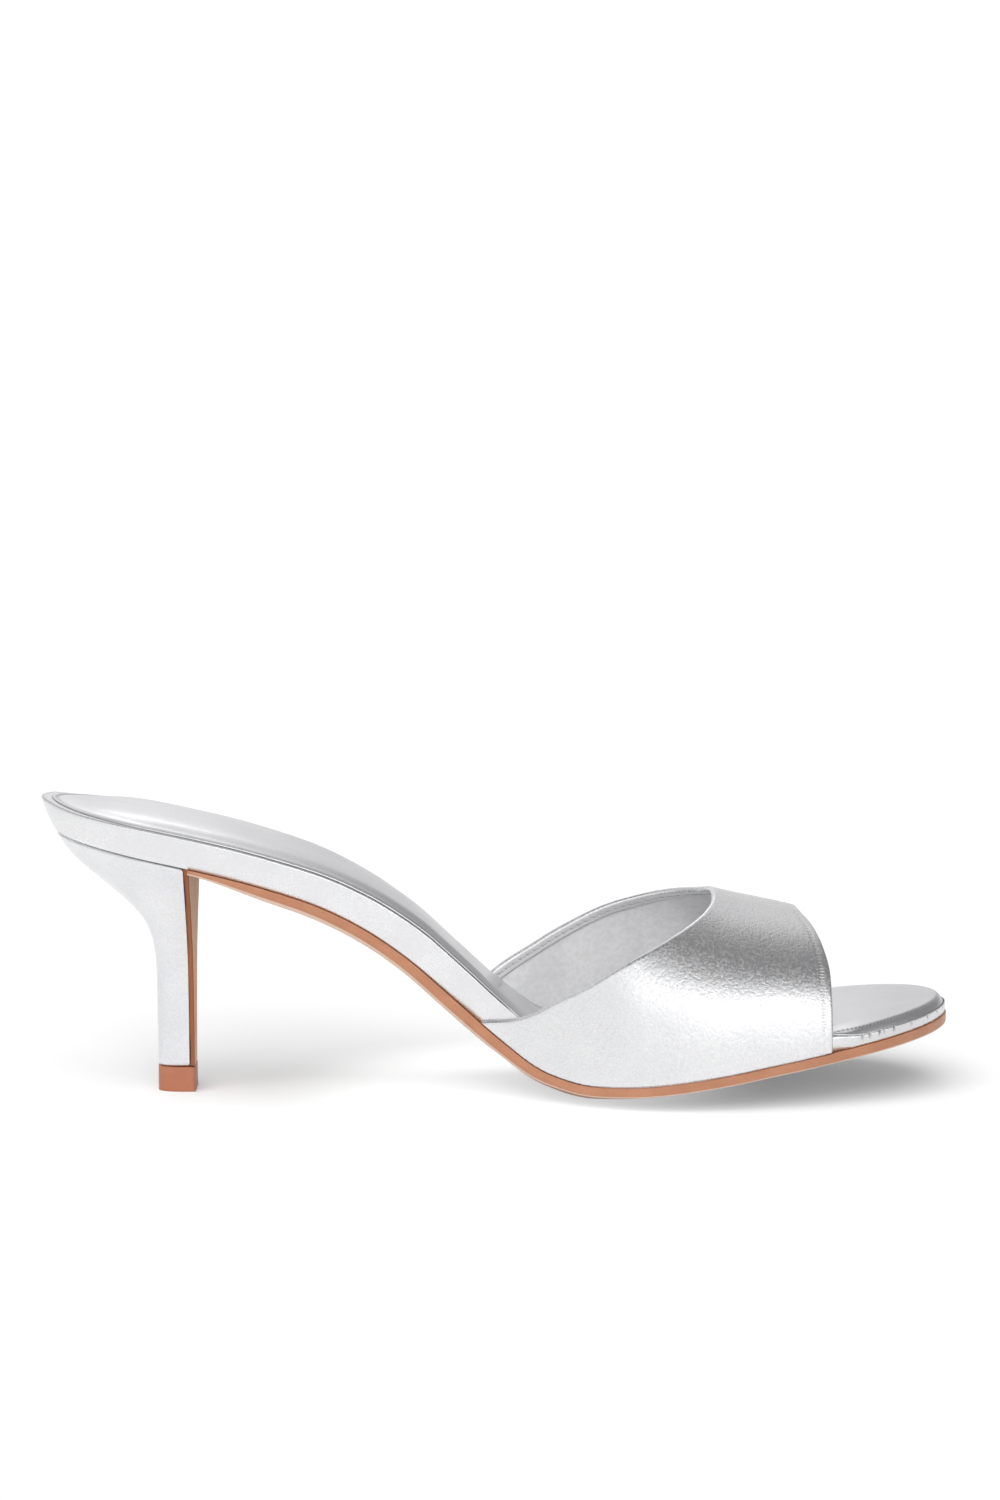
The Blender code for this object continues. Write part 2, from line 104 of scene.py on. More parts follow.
# The vamp's two edges: share of the way round from the little-toe side, station.
THROAT = ((0.000, 0.478), (0.014, 0.502), (0.040, 0.528), (0.078, 0.558), (0.125, 0.597),
          (0.180, 0.636), (0.240, 0.675), (0.300, 0.705), (0.360, 0.725), (0.430, 0.737),
          (0.520, 0.741), (0.590, 0.736), (0.650, 0.711), (0.700, 0.682), (0.750, 0.648),
          (0.800, 0.611), (0.850, 0.575), (0.900, 0.541), (0.950, 0.508), (1.000, 0.474))
TOE_EDGE = ((0.00, 0.860), (0.20, 0.860), (0.30, 0.855), (0.40, 0.847), (0.50, 0.838),
            (0.60, 0.838), (0.70, 0.844), (0.80, 0.851), (0.90, 0.857), (1.00, 0.859))


# %% Reading a table as a soft curve
def curve(table, place, column):
    """A table's column as a curve that never swings past its rows."""
    knots = [row[0] for row in table]
    values = [row[column] for row in table]
    last = len(knots) - 1
    slopes = [(values[i + 1] - values[i]) / (knots[i + 1] - knots[i]) for i in range(last)]

    def tangent(i):
        if i in (0, last):
            return slopes[0] if i == 0 else slopes[-1]
        before = slopes[i - 1]
        after = slopes[i]
        return 2 * before * after / (before + after) if before * after > 0 else 0.0

    i = 0
    while i < last - 1 and place > knots[i + 1]:
        i += 1
    span = knots[i + 1] - knots[i]
    t = (place - knots[i]) / span
    return (values[i] * (1 + 2 * t) * (1 - t) ** 2 + span * tangent(i) * t * (1 - t) ** 2
            + values[i + 1] * t * t * (3 - 2 * t) + span * tangent(i + 1) * t * t * (t - 1))


def softened(table, column, reach):
    """The same curve, averaged over a stretch of that reach to each side."""
    first = table[0][0]
    last = table[-1][0]
    count = 800
    step = (last - first) / count
    line = [curve(table, first + i * step, column) for i in range(count + 1)]
    half = max(int(reach / step), 1)

    def at(i):
        if i < 0:
            return 2 * line[0] - line[-i]
        if i > count:
            return 2 * line[count] - line[2 * count - i]
        return line[i]

    weights = [1 + math.cos(math.pi * k / (half + 1)) for k in range(-half, half + 1)]
    total = sum(weights)
    soft = []
    for i in range(count + 1):
        soft.append(sum(w * at(i + k - half) for k, w in enumerate(weights)) / total)

    def read(place):
        t = min(max((place - first) / step, 0.0), count)
        i = min(int(t), count - 1)
        return soft[i] + (soft[i + 1] - soft[i]) * (t - i)

    return read


little_width = softened(LAST, 1, 0.020)
big_width = softened(LAST, 2, 0.020)
seat_climb = softened(LAST, 3, 0.022)
toe_climb = softened(LAST, 4, 0.022)
sole_share = softened(SOLE, 1, 0.020)
ridge_share = softened(RIDGE, 1, 0.022)
throat = softened(THROAT, 1, 0.022)
toe_edge = softened(TOE_EDGE, 1, 0.06)
print("bed half widths at the ball:", round(little_width(0.7), 3), round(big_width(0.7), 3))


# %% Profile and plan of the last
def ease(start, end, place):
    """0 before start, 1 after end, smooth between."""
    t = min(max((place - start) / (end - start), 0.0), 1.0)
    return t * t * (3 - 2 * t)


def mixed(a, b, share):
    return a + (b - a) * share


def station_of(x):
    return x / LENGTH + 0.5


def x_of(station):
    return (station - 0.5) * LENGTH


def edge_height(x):
    station = station_of(x)
    return BALL_LIFT + SEAT_RISE * seat_climb(station) + TOE_SPRING * toe_climb(station)


def slope_at(x):
    reach = 0.01 * LENGTH
    return math.atan((edge_height(x + reach) - edge_height(x - reach)) / (2 * reach))


def forefoot(station):
    """Share of the ball's hollow and crown: none in the waist, fading to the toe."""
    return ease(0.47, 0.60, station) * (1 - 0.6 * ease(0.72, 1.0, station))


def half_width(station, side):
    width = BALL_WIDTH * (little_width(station) if side < 0 else big_width(station))
    if station < SEAT_ROUND:
        width *= math.sqrt(max(1 - (1 - station / SEAT_ROUND) ** 2, 0.0))
    if station > TOE_ROUND:
        width *= math.sqrt(max(1 - ((station - TOE_ROUND) / (1 - TOE_ROUND)) ** 2, 0.0))
    return width


def upper_zone(station):
    """1 where the vamp is wrapped round the insole, 0 at the seat and the toe."""
    return ease(0.38, 0.47, station) * (1 - ease(0.866, 0.885, station))


# %% [markdown]
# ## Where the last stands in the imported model
# The part's source works in the last's own frame and then moves the shoe so that the middle of its
# box is over the origin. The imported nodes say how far: the sole's toe tip gives the move along the
# shoe, and the heel's tip, which is symmetric, gives the move across it.

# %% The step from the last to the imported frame
SOLE_LEDGE = 0.0002
TIP_SHIFT = -0.0015
tip_low, tip_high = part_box("top_piece")
sole_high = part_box("outsole")[1]
STAND = Vector((sole_high.x - LENGTH / 2 - SOLE_LEDGE, (tip_low.y + tip_high.y) / 2 - TIP_SHIFT, 0.0))
print("the last stands", [round(c / MM, 3) for c in STAND], "mm from the packed origin")

# %% [markdown]
# ## A skin round the plan
# Sole, insole and sock all follow the same plan. Each of them is one grid: its columns run round
# the plan and its rows run over the piece's profile, from the middle of its underside out to the
# edge, up the side and back to the middle on top. The grid operator makes the faces, a function
# gives each vertex its place, and merging the doubles closes seam and spine. Rows that follow the
# edge make it easy to lay a groove, a bead or a seam along it.

# %% Walking round the plan
SPINE_BACK = 0.11
SPINE_TOE = 0.83
BREAST = 0.0373
BREAST_TURN = math.radians(2.5)


def plan_station(turn, start):
    """turn goes from 0 at the back, by the little-toe side, to 0.5 at the toe tip and on to 1."""
    turn = turn % 1.0 if start == 0 else min(max(turn, 0.0), 1.0)
    way = 2 * turn if turn < 0.5 else 2 - 2 * turn
    side = -1 if turn < 0.5 else 1
    if start == 0:
        return 0.5 - 0.5 * math.cos(math.pi * way), side
    return start + (1 - start) * math.sin(math.pi / 2 * way), side


def lean(station, y, start):
    """How far a row across the outsole leans with the heel's turned front face."""
    if start == 0:
        return 0.0
    return math.tan(BREAST_TURN) * y * (1 - ease(BREAST / LENGTH, 0.32, station))


def plan_edge(turn, start=0.0):
    station, side = plan_station(turn, start)
    y = side * half_width(station, side)
    return Vector((x_of(station) + lean(station, y, start), y))


def plan_inward(turn, start=0.0):
    """Direction square to the plan's edge, towards its inside."""
    step = 0.0008
    along = plan_edge(turn + step, start) - plan_edge(turn - step, start)
    return Vector((-along.y, along.x)).normalized()


def plan_spine(turn, start=0.0):
    station = min(max(plan_station(turn, start)[0], max(SPINE_BACK, start)), SPINE_TOE)
    y = (half_width(station, 1) - half_width(station, -1)) / 2
    return Vector((x_of(station) + lean(station, y, start), y))


def across_at(point, turn, start=0.0):
    """0 on the spine, 1 on the bed's edge."""
    middle = plan_spine(turn, start)
    return (point - middle).length / (plan_edge(turn, start) - middle).length


# %% Making a piece from rows
ALONG_PLAN = 360
MERGE = 0.01 * MM


def grid_of(columns, rows, *marks):
    """A flat grid, and a number layer on its vertices for each of the marks."""
    bm = bmesh.new()
    bmesh.ops.create_grid(bm, x_segments=columns, y_segments=rows, size=0.5)
    return bm, [bm.verts.layers.float.new(name) for name in marks]


def cell_of(v, columns, rows):
    """Column and row of one of the grid's vertices."""
    return round((v.co.x + 0.5) * columns), round((v.co.y + 0.5) * rows)


def run_along(points):
    """How far along the line each of its points is."""
    run = [0.0]
    for before, after in zip(points, points[1:]):
        run.append(run[-1] + (after - before).length)
    return run


def even_turns(count):
    return [i / count for i in range(count + 1)]


def round_plan(rows, start=0.0, turns=even_turns(ALONG_PLAN)):
    """A closed bmesh round the plan, with a column at each of the turns.

    Each row is (inset, share, height, mark): inset(station, turn) is how far in from the plan's
    edge its foot is, share how far it then is from the spine to that foot, height(x, across, turn)
    its height, and mark a number for its finish, or a function of station and turn.
    """
    columns = len(turns) - 1
    bm, (finish, way, off) = grid_of(columns, len(rows) - 1, "finish", "way", "edge_off")
    run = run_along([plan_edge(turn, start) for turn in turns])
    for v in bm.verts:
        column, row = cell_of(v, columns, len(rows) - 1)
        inset, share, height, mark = rows[row]
        turn = turns[column]
        station = plan_station(turn, start)[0]
        edge = plan_edge(turn, start)
        middle = plan_spine(turn, start)
        foot = edge + plan_inward(turn, start) * inset(station, turn)
        point = middle + (foot - middle) * share
        v[finish] = mark(station, turn) if callable(mark) else mark
        v[way] = run[column]
        v[off] = (edge - point).length
        v.co = (point.x, point.y, height(point.x, across_at(point, turn, start), turn))
    bmesh.ops.remove_doubles(bm, verts=bm.verts, dist=MERGE)
    return bm


# %% Putting a piece in the scene
def add_object(name, data):
    """An object for a mesh, a light or a camera."""
    added = bpy.data.objects.new(name, data)
    bpy.context.scene.collection.objects.link(added)
    return added


def mesh_of(name, bm, material):
    mesh = bpy.data.meshes.new(name)
    bm.to_mesh(mesh)
    bm.free()
    mesh.materials.append(material)
    return mesh


def show_piece(name, bm, material, node=None):
    """Put a finished bmesh in the scene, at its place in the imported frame."""
    bmesh.ops.translate(bm, verts=bm.verts, vec=STAND)
    mesh = mesh_of(name, bm, material)
    mesh.shade_smooth()
    piece = add_object(name, mesh)
    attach(piece, "root")
    if node:
        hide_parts(node)
    corners = [v.co for v in mesh.vertices]
    size = [max(c[i] for c in corners) - min(c[i] for c in corners) for i in range(3)]
    print(f"{name}: {len(mesh.polygons)} faces,", " x ".join(f"{s / MM:.1f}" for s in size), "mm")
    return piece


# %% [markdown]
# ## Finishes
# The photo shows foil leather: a thin silver film on fine-grained hide. It mirrors the studio in a
# soft way, and the film's faint crackle frays the edge of every reflection. So the metal shader
# mirrors the lights, a bump of grain and crackle tilts the surface, and some patches are rougher.
# What is painted is the film itself, faint clouds and flecks, and also painted shade: folds,
# creases, pleats and grooves are painted darker. Effects that several finishes share are node
# groups with named inputs.

# %% Small helpers for node trees
def put(tree, kind, **settings):
    node = tree.nodes.new(kind)
    for key, value in settings.items():
        setattr(node, key, value)
    return node


def wire(tree, source, target):
    tree.links.new(source, target)


def feed(tree, value, target):
    """The value is another socket, a number, or a triple for a colour."""
    if isinstance(value, tuple):
        target.default_value = (*value, 1.0)
    elif isinstance(value, (int, float)):
        target.default_value = value
    else:
        wire(tree, value, target)


def set_inputs(tree, node, **values):
    """Feed a node's inputs and return its outputs. An underscore stands for a space."""
    for key, value in values.items():
        feed(tree, value, node.inputs[key.replace("_", " ")])
    return node.outputs


def source_of(node, name):
    """The socket that feeds that input of a node."""
    return node.inputs[name].links[0].from_socket


def maths(tree, operation, *values):
    node = put(tree, "ShaderNodeMath", operation=operation)
    for target, value in zip(node.inputs, values):
        feed(tree, value, target)
    return node.outputs[0]


def times(tree, first, second):
    return maths(tree, "MULTIPLY", first, second)


def plus(tree, first, second):
    return maths(tree, "ADD", first, second)


def minus(tree, first, second):
    return maths(tree, "SUBTRACT", first, second)


def spread(tree, value, low, high, to_low, to_high):
    """A Map Range node that clamps, with a soft start and end."""
    node = put(tree, "ShaderNodeMapRange", clamp=True, interpolation_type="SMOOTHSTEP")
    return set_inputs(tree, node, Value=value, From_Min=low, From_Max=high, To_Min=to_low,
                      To_Max=to_high)["Result"]


def tint(tree, share, first, second):
    """A Mix node between two colours, whose sockets come after those for numbers and vectors."""
    node = put(tree, "ShaderNodeMix", data_type="RGBA")
    for index, value in ((0, share), (6, first), (7, second)):
        feed(tree, value, node.inputs[index])
    return node.outputs[2]


def darker(colour, share):
    return tuple(c * share for c in colour)


def noise_at(tree, place, scale, detail, rough=0.5):
    node = put(tree, "ShaderNodeTexNoise", noise_dimensions="3D")
    return set_inputs(tree, node, Vector=place, Scale=scale, Detail=detail, Roughness=rough)


def bump_up(tree, shader, height, distance):
    """Tilt the shader's normal by a height. The Bump node keeps its plain name."""
    bump = put(tree, "ShaderNodeBump")
    set_inputs(tree, bump, Height=height, Distance=distance)
    wire(tree, bump.outputs["Normal"], shader.inputs["Normal"])


def read_mark(tree, name):
    return put(tree, "ShaderNodeAttribute", attribute_name=name).outputs["Fac"]


def object_place(tree):
    return put(tree, "ShaderNodeTexCoord").outputs["Object"]


# %% Helpers for groups and materials
def new_group(name, inputs, outputs):
    """An empty node group of number sockets, apart from an input with no value, a vector.

    Returns its tree, the sockets with what it is given, and the sockets for what it makes.
    """
    tree = bpy.data.node_groups.new(name, "ShaderNodeTree")
    for label, value in inputs.items():
        kind = "NodeSocketVector" if value is None else "NodeSocketFloat"
        socket = tree.interface.new_socket(name=label, in_out="INPUT", socket_type=kind)
        if value is not None:
            socket.default_value = value
    for label in outputs:
        tree.interface.new_socket(name=label, in_out="OUTPUT", socket_type="NodeSocketFloat")
    return tree, put(tree, "NodeGroupInput").outputs, put(tree, "NodeGroupOutput").inputs


def use_group(tree, group, **values):
    return set_inputs(tree, put(tree, "ShaderNodeGroup", node_tree=group), **values)


def nodes_of(material):
    """A material's tree and its shader."""
    return material.node_tree, material.node_tree.nodes["Principled BSDF"]


def new_material(name):
    material = bpy.data.materials.new(name)
    material.use_nodes = True
    return material, *nodes_of(material)


# %% [markdown]
# ### Grain of the hide
# Small rounded cells with fine creases between them. A Voronoi texture's distance to the cell edge
# is that crease line, and a noise added to the place first keeps the cells from looking drawn.

# %% Grain group
def make_grain_group():
    tree, given, made = new_group(
        "hide_grain", {"Place": None, "Cell size": 0.6 * MM, "Wander": 0.3}, ("Height", "Crease"))
    density = maths(tree, "DIVIDE", 1.0, given["Cell size"])
    noise = noise_at(tree, given["Place"], density, 2.0)
    stray = put(tree, "ShaderNodeVectorMath", operation="SCALE")
    wire(tree, noise["Color"], stray.inputs[0])
    wire(tree, times(tree, given["Cell size"], given["Wander"]), stray.inputs["Scale"])
    moved = put(tree, "ShaderNodeVectorMath", operation="ADD")
    wire(tree, given["Place"], moved.inputs[0])
    wire(tree, stray.outputs[0], moved.inputs[1])
    cells = put(tree, "ShaderNodeTexVoronoi", feature="DISTANCE_TO_EDGE")
    to_edge = set_inputs(tree, cells, Vector=moved.outputs[0], Scale=density)["Distance"]
    dome = spread(tree, to_edge, 0.0, 0.28, 0.0, 1.0)
    wire(tree, plus(tree, times(tree, dome, 0.7), times(tree, noise["Fac"], 0.3)), made["Height"])
    wire(tree, spread(tree, to_edge, 0.0, 0.12, 1.0, 0.0), made["Crease"])
    return tree


hide_grain = make_grain_group()

# %% [markdown]
# ### Crackle of the foil
# Under a glass the film is a patchwork of little flats that lean a few degrees each way, with finer
# specks in them. They are what frays the edge of each reflection. A coarse noise gives the lean
# and a finer one the specks. A soft threshold on the fine one marks the dull specks.

# %% Crackle group
def make_crackle_group():
    tree, given, made = new_group(
        "foil_crackle", {"Place": None, "Patch size": 0.9 * MM}, ("Height", "Speck"))
    density = maths(tree, "DIVIDE", 1.0, given["Patch size"])
    patches = noise_at(tree, given["Place"], density, 2.0)["Fac"]
    specks = noise_at(tree, given["Place"], times(tree, density, 2.6), 3.0, 0.7)["Fac"]
    wire(tree, plus(tree, times(tree, patches, 0.62), times(tree, specks, 0.38)), made["Height"])
    wire(tree, spread(tree, specks, 0.58, 0.72, 0.0, 1.0), made["Speck"])
    return tree


foil_crackle = make_crackle_group()

# %% [markdown]
# ### Clouds
# Dyed leather and glued foil are never one even tone. This group gives slow, faint clouds that a
# finish mixes into its colour and its roughness.

# %% Cloud group
def make_cloud_group():
    tree, given, made = new_group("slow_clouds", {"Place": None, "Cloud size": 12 * MM}, ("Cloud",))
    density = maths(tree, "DIVIDE", 1.0, given["Cloud size"])
    noise = noise_at(tree, given["Place"], density, 4.0, 0.55)
    wire(tree, spread(tree, noise["Fac"], 0.3, 0.7, 0.0, 1.0), made["Cloud"])
    return tree


slow_clouds = make_cloud_group()

# %% [markdown]
# ### A sewn or pricked line
# Stitches pull the leather down at even steps along a line. The group reads how far along the line
# a point is and how far beside it, and gives a row of small pits and the shallow channel between.

# %% Stitch line group
def make_pricked_group():
    tree, given, made = new_group(
        "pricked_line", {"Along": 0.0, "Beside": 0.0, "Step": 2.2 * MM, "Line width": 0.5 * MM},
        ("Pit", "Channel"))
    steps = maths(tree, "DIVIDE", given["Along"], given["Step"])
    part = maths(tree, "ABSOLUTE", minus(tree, maths(tree, "FRACT", steps), 0.5))
    near = maths(tree, "DIVIDE", given["Beside"], given["Line width"])
    beside = spread(tree, maths(tree, "ABSOLUTE", near), 0.2, 1.0, 1.0, 0.0)
    wire(tree, times(tree, spread(tree, part, 0.02, 0.2, 1.0, 0.0), beside), made["Pit"])
    wire(tree, beside, made["Channel"])
    return tree


pricked_line = make_pricked_group()


# %% [markdown]
# ### Foil leather
# One function makes the silver finishes, because they differ only in their numbers: the vamp shows
# the most crackle, the heel's cover a fine sparkling grain, and the lining is duller. Where a mesh
# carries the painted shade mark, its colour is painted darker there: painted shade in folds, pleats,
# creases and grooves.

# %% Foil leather material
def foil_leather(name, light, dark, gloss, lean_depth, grain_depth,
                 patch=0.9 * MM, cell=0.55 * MM, metal=1.0, fleck=0.3, patchy=0.03, paint_shade=False):
    """light and dark are the film's two tones, gloss its roughness, the depths metres.

    fleck says how dark the low patches of the crackle are, and patchy how much rougher some are.
    """
    material, tree, shader = new_material(name)
    place = object_place(tree)
    grain = use_group(tree, hide_grain, Place=place, Cell_size=cell, Wander=0.9)["Height"]
    crackle = use_group(tree, foil_crackle, Place=place, Patch_size=patch)
    cloud = use_group(tree, slow_clouds, Place=place, Cloud_size=16 * MM)["Cloud"]
    dull = spread(tree, crackle["Height"], 0.40, 0.60, fleck, 0.0)
    tone = tint(tree, dull, tint(tree, cloud, light, dark), darker(dark, 0.68))
    tone = tint(tree, times(tree, crackle["Speck"], 0.30), tone, darker(dark, 0.55))
    # Painted shade: darker where the painted shade mark is set, in folds, pleats, creases and grooves.
    if paint_shade:
        tone = tint(tree, read_mark(tree, "painted_shade"), tone, darker(dark, 0.22))
    rough = plus(tree, spread(tree, cloud, 0.0, 1.0, gloss - 0.015, gloss + 0.02),
                 times(tree, crackle["Speck"], 0.10))
    rough = plus(tree, rough, spread(tree, crackle["Height"], 0.46, 0.60, 0.0, patchy))
    set_inputs(tree, shader, Base_Color=tone, Roughness=rough, Metallic=metal)
    deep = plus(tree, times(tree, crackle["Height"], lean_depth / MM),
                times(tree, grain, grain_depth / MM))
    bump_up(tree, shader, deep, MM)
    return material


silver_band = foil_leather("silver_band_leather", (0.80, 0.80, 0.81), (0.77, 0.77, 0.785), 0.22,
                           0.150 * MM, 0.012 * MM, patch=0.8 * MM, fleck=0.08, patchy=0.16,
                           paint_shade=True)
silver_rim = foil_leather("silver_rim_leather", (0.84, 0.84, 0.85), (0.79, 0.79, 0.805), 0.27,
                          0.050 * MM, 0.014 * MM, fleck=0.10, paint_shade=True)
silver_heel = foil_leather("silver_heel_leather", (0.84, 0.84, 0.85), (0.78, 0.785, 0.80), 0.33,
                           0.020 * MM, 0.034 * MM, patch=0.6 * MM, cell=0.45 * MM, fleck=0.22)
silver_sock = foil_leather("silver_sock_leather", (0.77, 0.77, 0.785), (0.73, 0.73, 0.75), 0.29,
                           0.040 * MM, 0.012 * MM, fleck=0.14, paint_shade=True)
silver_lining = foil_leather("silver_lining_leather", (0.97, 0.97, 0.975), (0.86, 0.86, 0.87), 0.45,
                             0.120 * MM, 0.020 * MM, patch=1.2 * MM, metal=0.14, fleck=0.22)
print("silver finishes:", len([m for m in bpy.data.materials if m.name.startswith("silver")]))


# %% [markdown]
# ### Tan leather, edge bevel and top piece
# The sole is smooth dyed leather: orange tan on its cut edge, paler on the skived bevel below it,
# and a little scuffed where the ball stands. The rows of the sole's mesh carry a mark named finish,
# 0 under the sole, 1 on the bevel and 2 on the edge, and the colour follows it.

# %% Tan leather materials
def plain_leather(name, colour, second, gloss, grain_depth, cell=0.5 * MM):
    """Dyed leather: two tones mixed by clouds, fine grain, a thin wax coat."""
    material, tree, shader = new_material(name)
    place = object_place(tree)
    grain = use_group(tree, hide_grain, Place=place, Cell_size=cell, Wander=1.0)
    cloud = use_group(tree, slow_clouds, Place=place, Cloud_size=7 * MM)["Cloud"]
    tone = tint(tree, times(tree, grain["Crease"], 0.3), tint(tree, cloud, colour, second),
                darker(second, 0.7))
    rough = spread(tree, cloud, 0.0, 1.0, gloss - 0.04, gloss + 0.06)
    set_inputs(tree, shader, Base_Color=tone, Roughness=rough, Coat_Weight=0.12, Coat_Roughness=0.35)
    bump_up(tree, shader, grain["Height"], grain_depth)
    return material


def sole_leather():
    """The bevel is paler, and the underside is scuffed across the shoe."""
    material = plain_leather("tan_sole_leather", (0.45, 0.200, 0.108), (0.40, 0.170, 0.088), 0.46,
                             0.012 * MM)
    tree, shader = nodes_of(material)
    mark = read_mark(tree, "finish")
    pale = times(tree, spread(tree, mark, 0.35, 0.95, 0.0, 1.0), spread(tree, mark, 1.05, 1.5, 1.0, 0.0))
    tone = tint(tree, times(tree, pale, 0.85), source_of(shader, "Base Color"), (0.66, 0.50, 0.40))
    turned = put(tree, "ShaderNodeMapping")
    turned.inputs["Scale"].default_value = (0.25, 1.6, 1.0)
    wire(tree, object_place(tree), turned.inputs["Vector"])
    scuffs = noise_at(tree, turned.outputs[0], 180.0, 5.0)["Fac"]
    worn = times(tree, spread(tree, scuffs, 0.52, 0.68, 0.0, 0.35), spread(tree, mark, 0.0, 0.3, 1.0, 0.0))
    wire(tree, tint(tree, worn, tone, (0.62, 0.40, 0.27)), shader.inputs["Base Color"])
    return material


def cover_leather():
    """The strip's cut sides are painted darker than its front, as painted shade. It has no wax on it."""
    material = plain_leather("tan_cover_leather", (0.88, 0.540, 0.360), (0.83, 0.490, 0.320), 0.7,
                             0.010 * MM)
    tree, shader = nodes_of(material)
    # Painted shade: the cut sides, marked in finish, go dark brown.
    edge = spread(tree, read_mark(tree, "finish"), 0.5, 0.95, 0.0, 1.0)
    tone = tint(tree, edge, source_of(shader, "Base Color"), (0.26, 0.100, 0.048))
    set_inputs(tree, shader, Base_Color=tone, Coat_Weight=0.0, Specular_IOR_Level=0.2)
    return material


tan_sole = sole_leather()
tan_cover = cover_leather()
terracotta = plain_leather("terracotta_rubber", (0.41, 0.150, 0.080), (0.37, 0.130, 0.068), 0.5,
                           0.006 * MM, cell=0.3 * MM)
print("tan finishes:", tan_sole.name, tan_cover.name, terracotta.name)

# %% [markdown]
# ## Outsole
# A thin leather sole, cut to the bed's plan. Its real edge is trimmed square, and in the waist it is
# skived underneath, so a paler bevel shows below the edge there. It hollows a little below the
# ball, where the flat spot stands on the floor. Its cut back end butts on the breast cover.

# %% Outsole
SOLE_EDGE = 0.0026
WAIST_CROWN = 0.0012
BALL_CROWN = 0.0043
BED_DISH = 0.0028
COVER_THICK = 0.0011
SNUG = 0.06 * MM
SOLE_START = (BREAST + COVER_THICK + 2 * SNUG) / LENGTH
BEVEL_HEIGHT = 0.9 * MM
BEVEL_DEPTH = 0.8 * MM


def toe_fade(x):
    """1 along the shoe, 0 at the very tip of the toe."""
    toe = min(max((station_of(x) - TOE_ROUND) / (1 - TOE_ROUND), 0.0), 1.0)
    return 1 - toe ** 2


def bed_height(x, across):
    return edge_height(x) - BED_DISH * forefoot(station_of(x)) * (1 - across ** 2) * toe_fade(x)


def sole_bottom(x, across):
    station = station_of(x)
    crown = mixed(WAIST_CROWN, BALL_CROWN, forefoot(station)) * ease(0.15, 0.30, station)
    edge = edge_height(x) - SOLE_EDGE * sole_share(station) / math.cos(slope_at(x))
    return max(edge - crown * (1 - across ** 2) * toe_fade(x), 0.0)


def skived(station):
    """Share of the bevel: full in the waist, finer at the heel and from the ball on."""
    return (1 - 0.7 * ease(0.44, 0.58, station)) * (0.5 + 0.5 * ease(0.16, 0.26, station))


def sole_side(share, rise=0.0):
    """Height on the sole's side, as a share of the way up, plus a rise that the bevel scales."""
    def height(x, across, turn):
        low = sole_bottom(x, 1.0)
        return mixed(low, bed_height(x, 1.0) - SNUG, share) + rise * skived(station_of(x))
    return height


def outsole_rows():
    def ledge(inset):
        return lambda station, turn: inset * skived(station) - SOLE_LEDGE

    def under(x, across, turn):
        return sole_bottom(x, across)

    def over(x, across, turn):
        return bed_height(x, across) - SNUG

    rows = [(ledge(BEVEL_DEPTH), share, under, 0.0)
            for share in (0.0, 0.15, 0.3, 0.45, 0.6, 0.72, 0.82, 0.9, 0.95, 0.98)]
    rows.append((ledge(BEVEL_DEPTH), 1.0, under, 0.4))
    bevel = ((BEVEL_DEPTH * 0.92, 0.03 * MM, 0.9), (BEVEL_DEPTH * 0.5, BEVEL_HEIGHT * 0.45, 1.0),
             (0.12 * MM, BEVEL_HEIGHT * 0.95, 1.0), (0.02 * MM, BEVEL_HEIGHT * 1.12, 1.4))
    rows += [(ledge(inset), 1.0, sole_side(0.0, rise), mark) for inset, rise, mark in bevel]
    rows += [(ledge(0.0), 1.0, sole_side(share), 2.0) for share in (0.55, 0.75, 0.9, 0.98)]
    rows.append((ledge(0.06 * MM), 1.0, sole_side(1.0), 2.0))
    rows += [(ledge(0.2 * MM), share, over, 2.0) for share in (0.96, 0.85, 0.6, 0.3, 0.0)]
    return rows


def make_outsole():
    """The white floor takes no tan light from the sole."""
    bm = round_plan(outsole_rows(), start=SOLE_START)
    bmesh.ops.holes_fill(bm, edges=[e for e in bm.edges if e.is_boundary], sides=0)
    bmesh.ops.recalc_face_normals(bm, faces=bm.faces)
    piece = show_piece("sole_leather", bm, tan_sole, "outsole")
    piece.visible_diffuse = False


make_outsole()

# %% [markdown]
# ## Padded insole
# A fibre board with foam, wrapped in foil leather. What shows is its rim: the leather turns over a
# soft top corner, runs down the side and tucks under. At the round toe the leather has to be
# gathered, which leaves short pleats in the rim. They are listed here, and the columns of the grid
# are closer together round the toe, so that each pleat has enough of them.

# %% Insole
RIM_THICK = 0.0076
TOE_THICK = 0.0042
TOP_DISH = 0.0011
SEAT_UNDERCUT = 0.0032
SIDE_UNDERCUT = 0.0008
VAMP_REBATE = 0.0012
SOCK_INSET = 0.0008
SOCK_BACK_INSET = 0.0026
RIM_ROUND = 0.55 * MM
GROOVE = 0.36 * MM
GROOVE_DEEP = 0.7 * MM
TOE_DROP = 1.5 * MM

# Pleats in the toe's rim: place along the way round the plan, width and depth in millimetres.
PLEATS = ((0.3940, 0.5, 0.35), (0.3985, 0.4, 0.50), (0.4050, 0.5, 0.50), (0.4078, 0.4, 0.30),
          (0.4150, 0.6, 0.45), (0.4290, 0.8, 0.22), (0.4460, 0.7, 0.30), (0.4600, 0.8, 0.22),
          (0.4740, 0.9, 0.28), (0.4890, 0.8, 0.24), (0.5050, 0.9, 0.28), (0.5210, 0.8, 0.24),
          (0.5360, 0.9, 0.28), (0.5520, 0.8, 0.26), (0.5680, 0.9, 0.22))
PLAN_ROUND = 0.50
# Stretches of columns: 2 mm apart along the sides and 0.3 mm apart round the toe.
TOE_STRETCHES = ((0.0, 0.38, 96), (0.38, 0.24, 380), (0.62, 0.38, 96))


def toe_turns():
    turns = []
    for first, length, count in TOE_STRETCHES:
        turns += [first + length * i / count for i in range(count)]
    return turns + [1.0]


def insole_thickness(x):
    square = mixed(RIM_THICK, TOE_THICK, ease(0.52, 0.78, station_of(x)))
    return square / math.cos(slope_at(x))


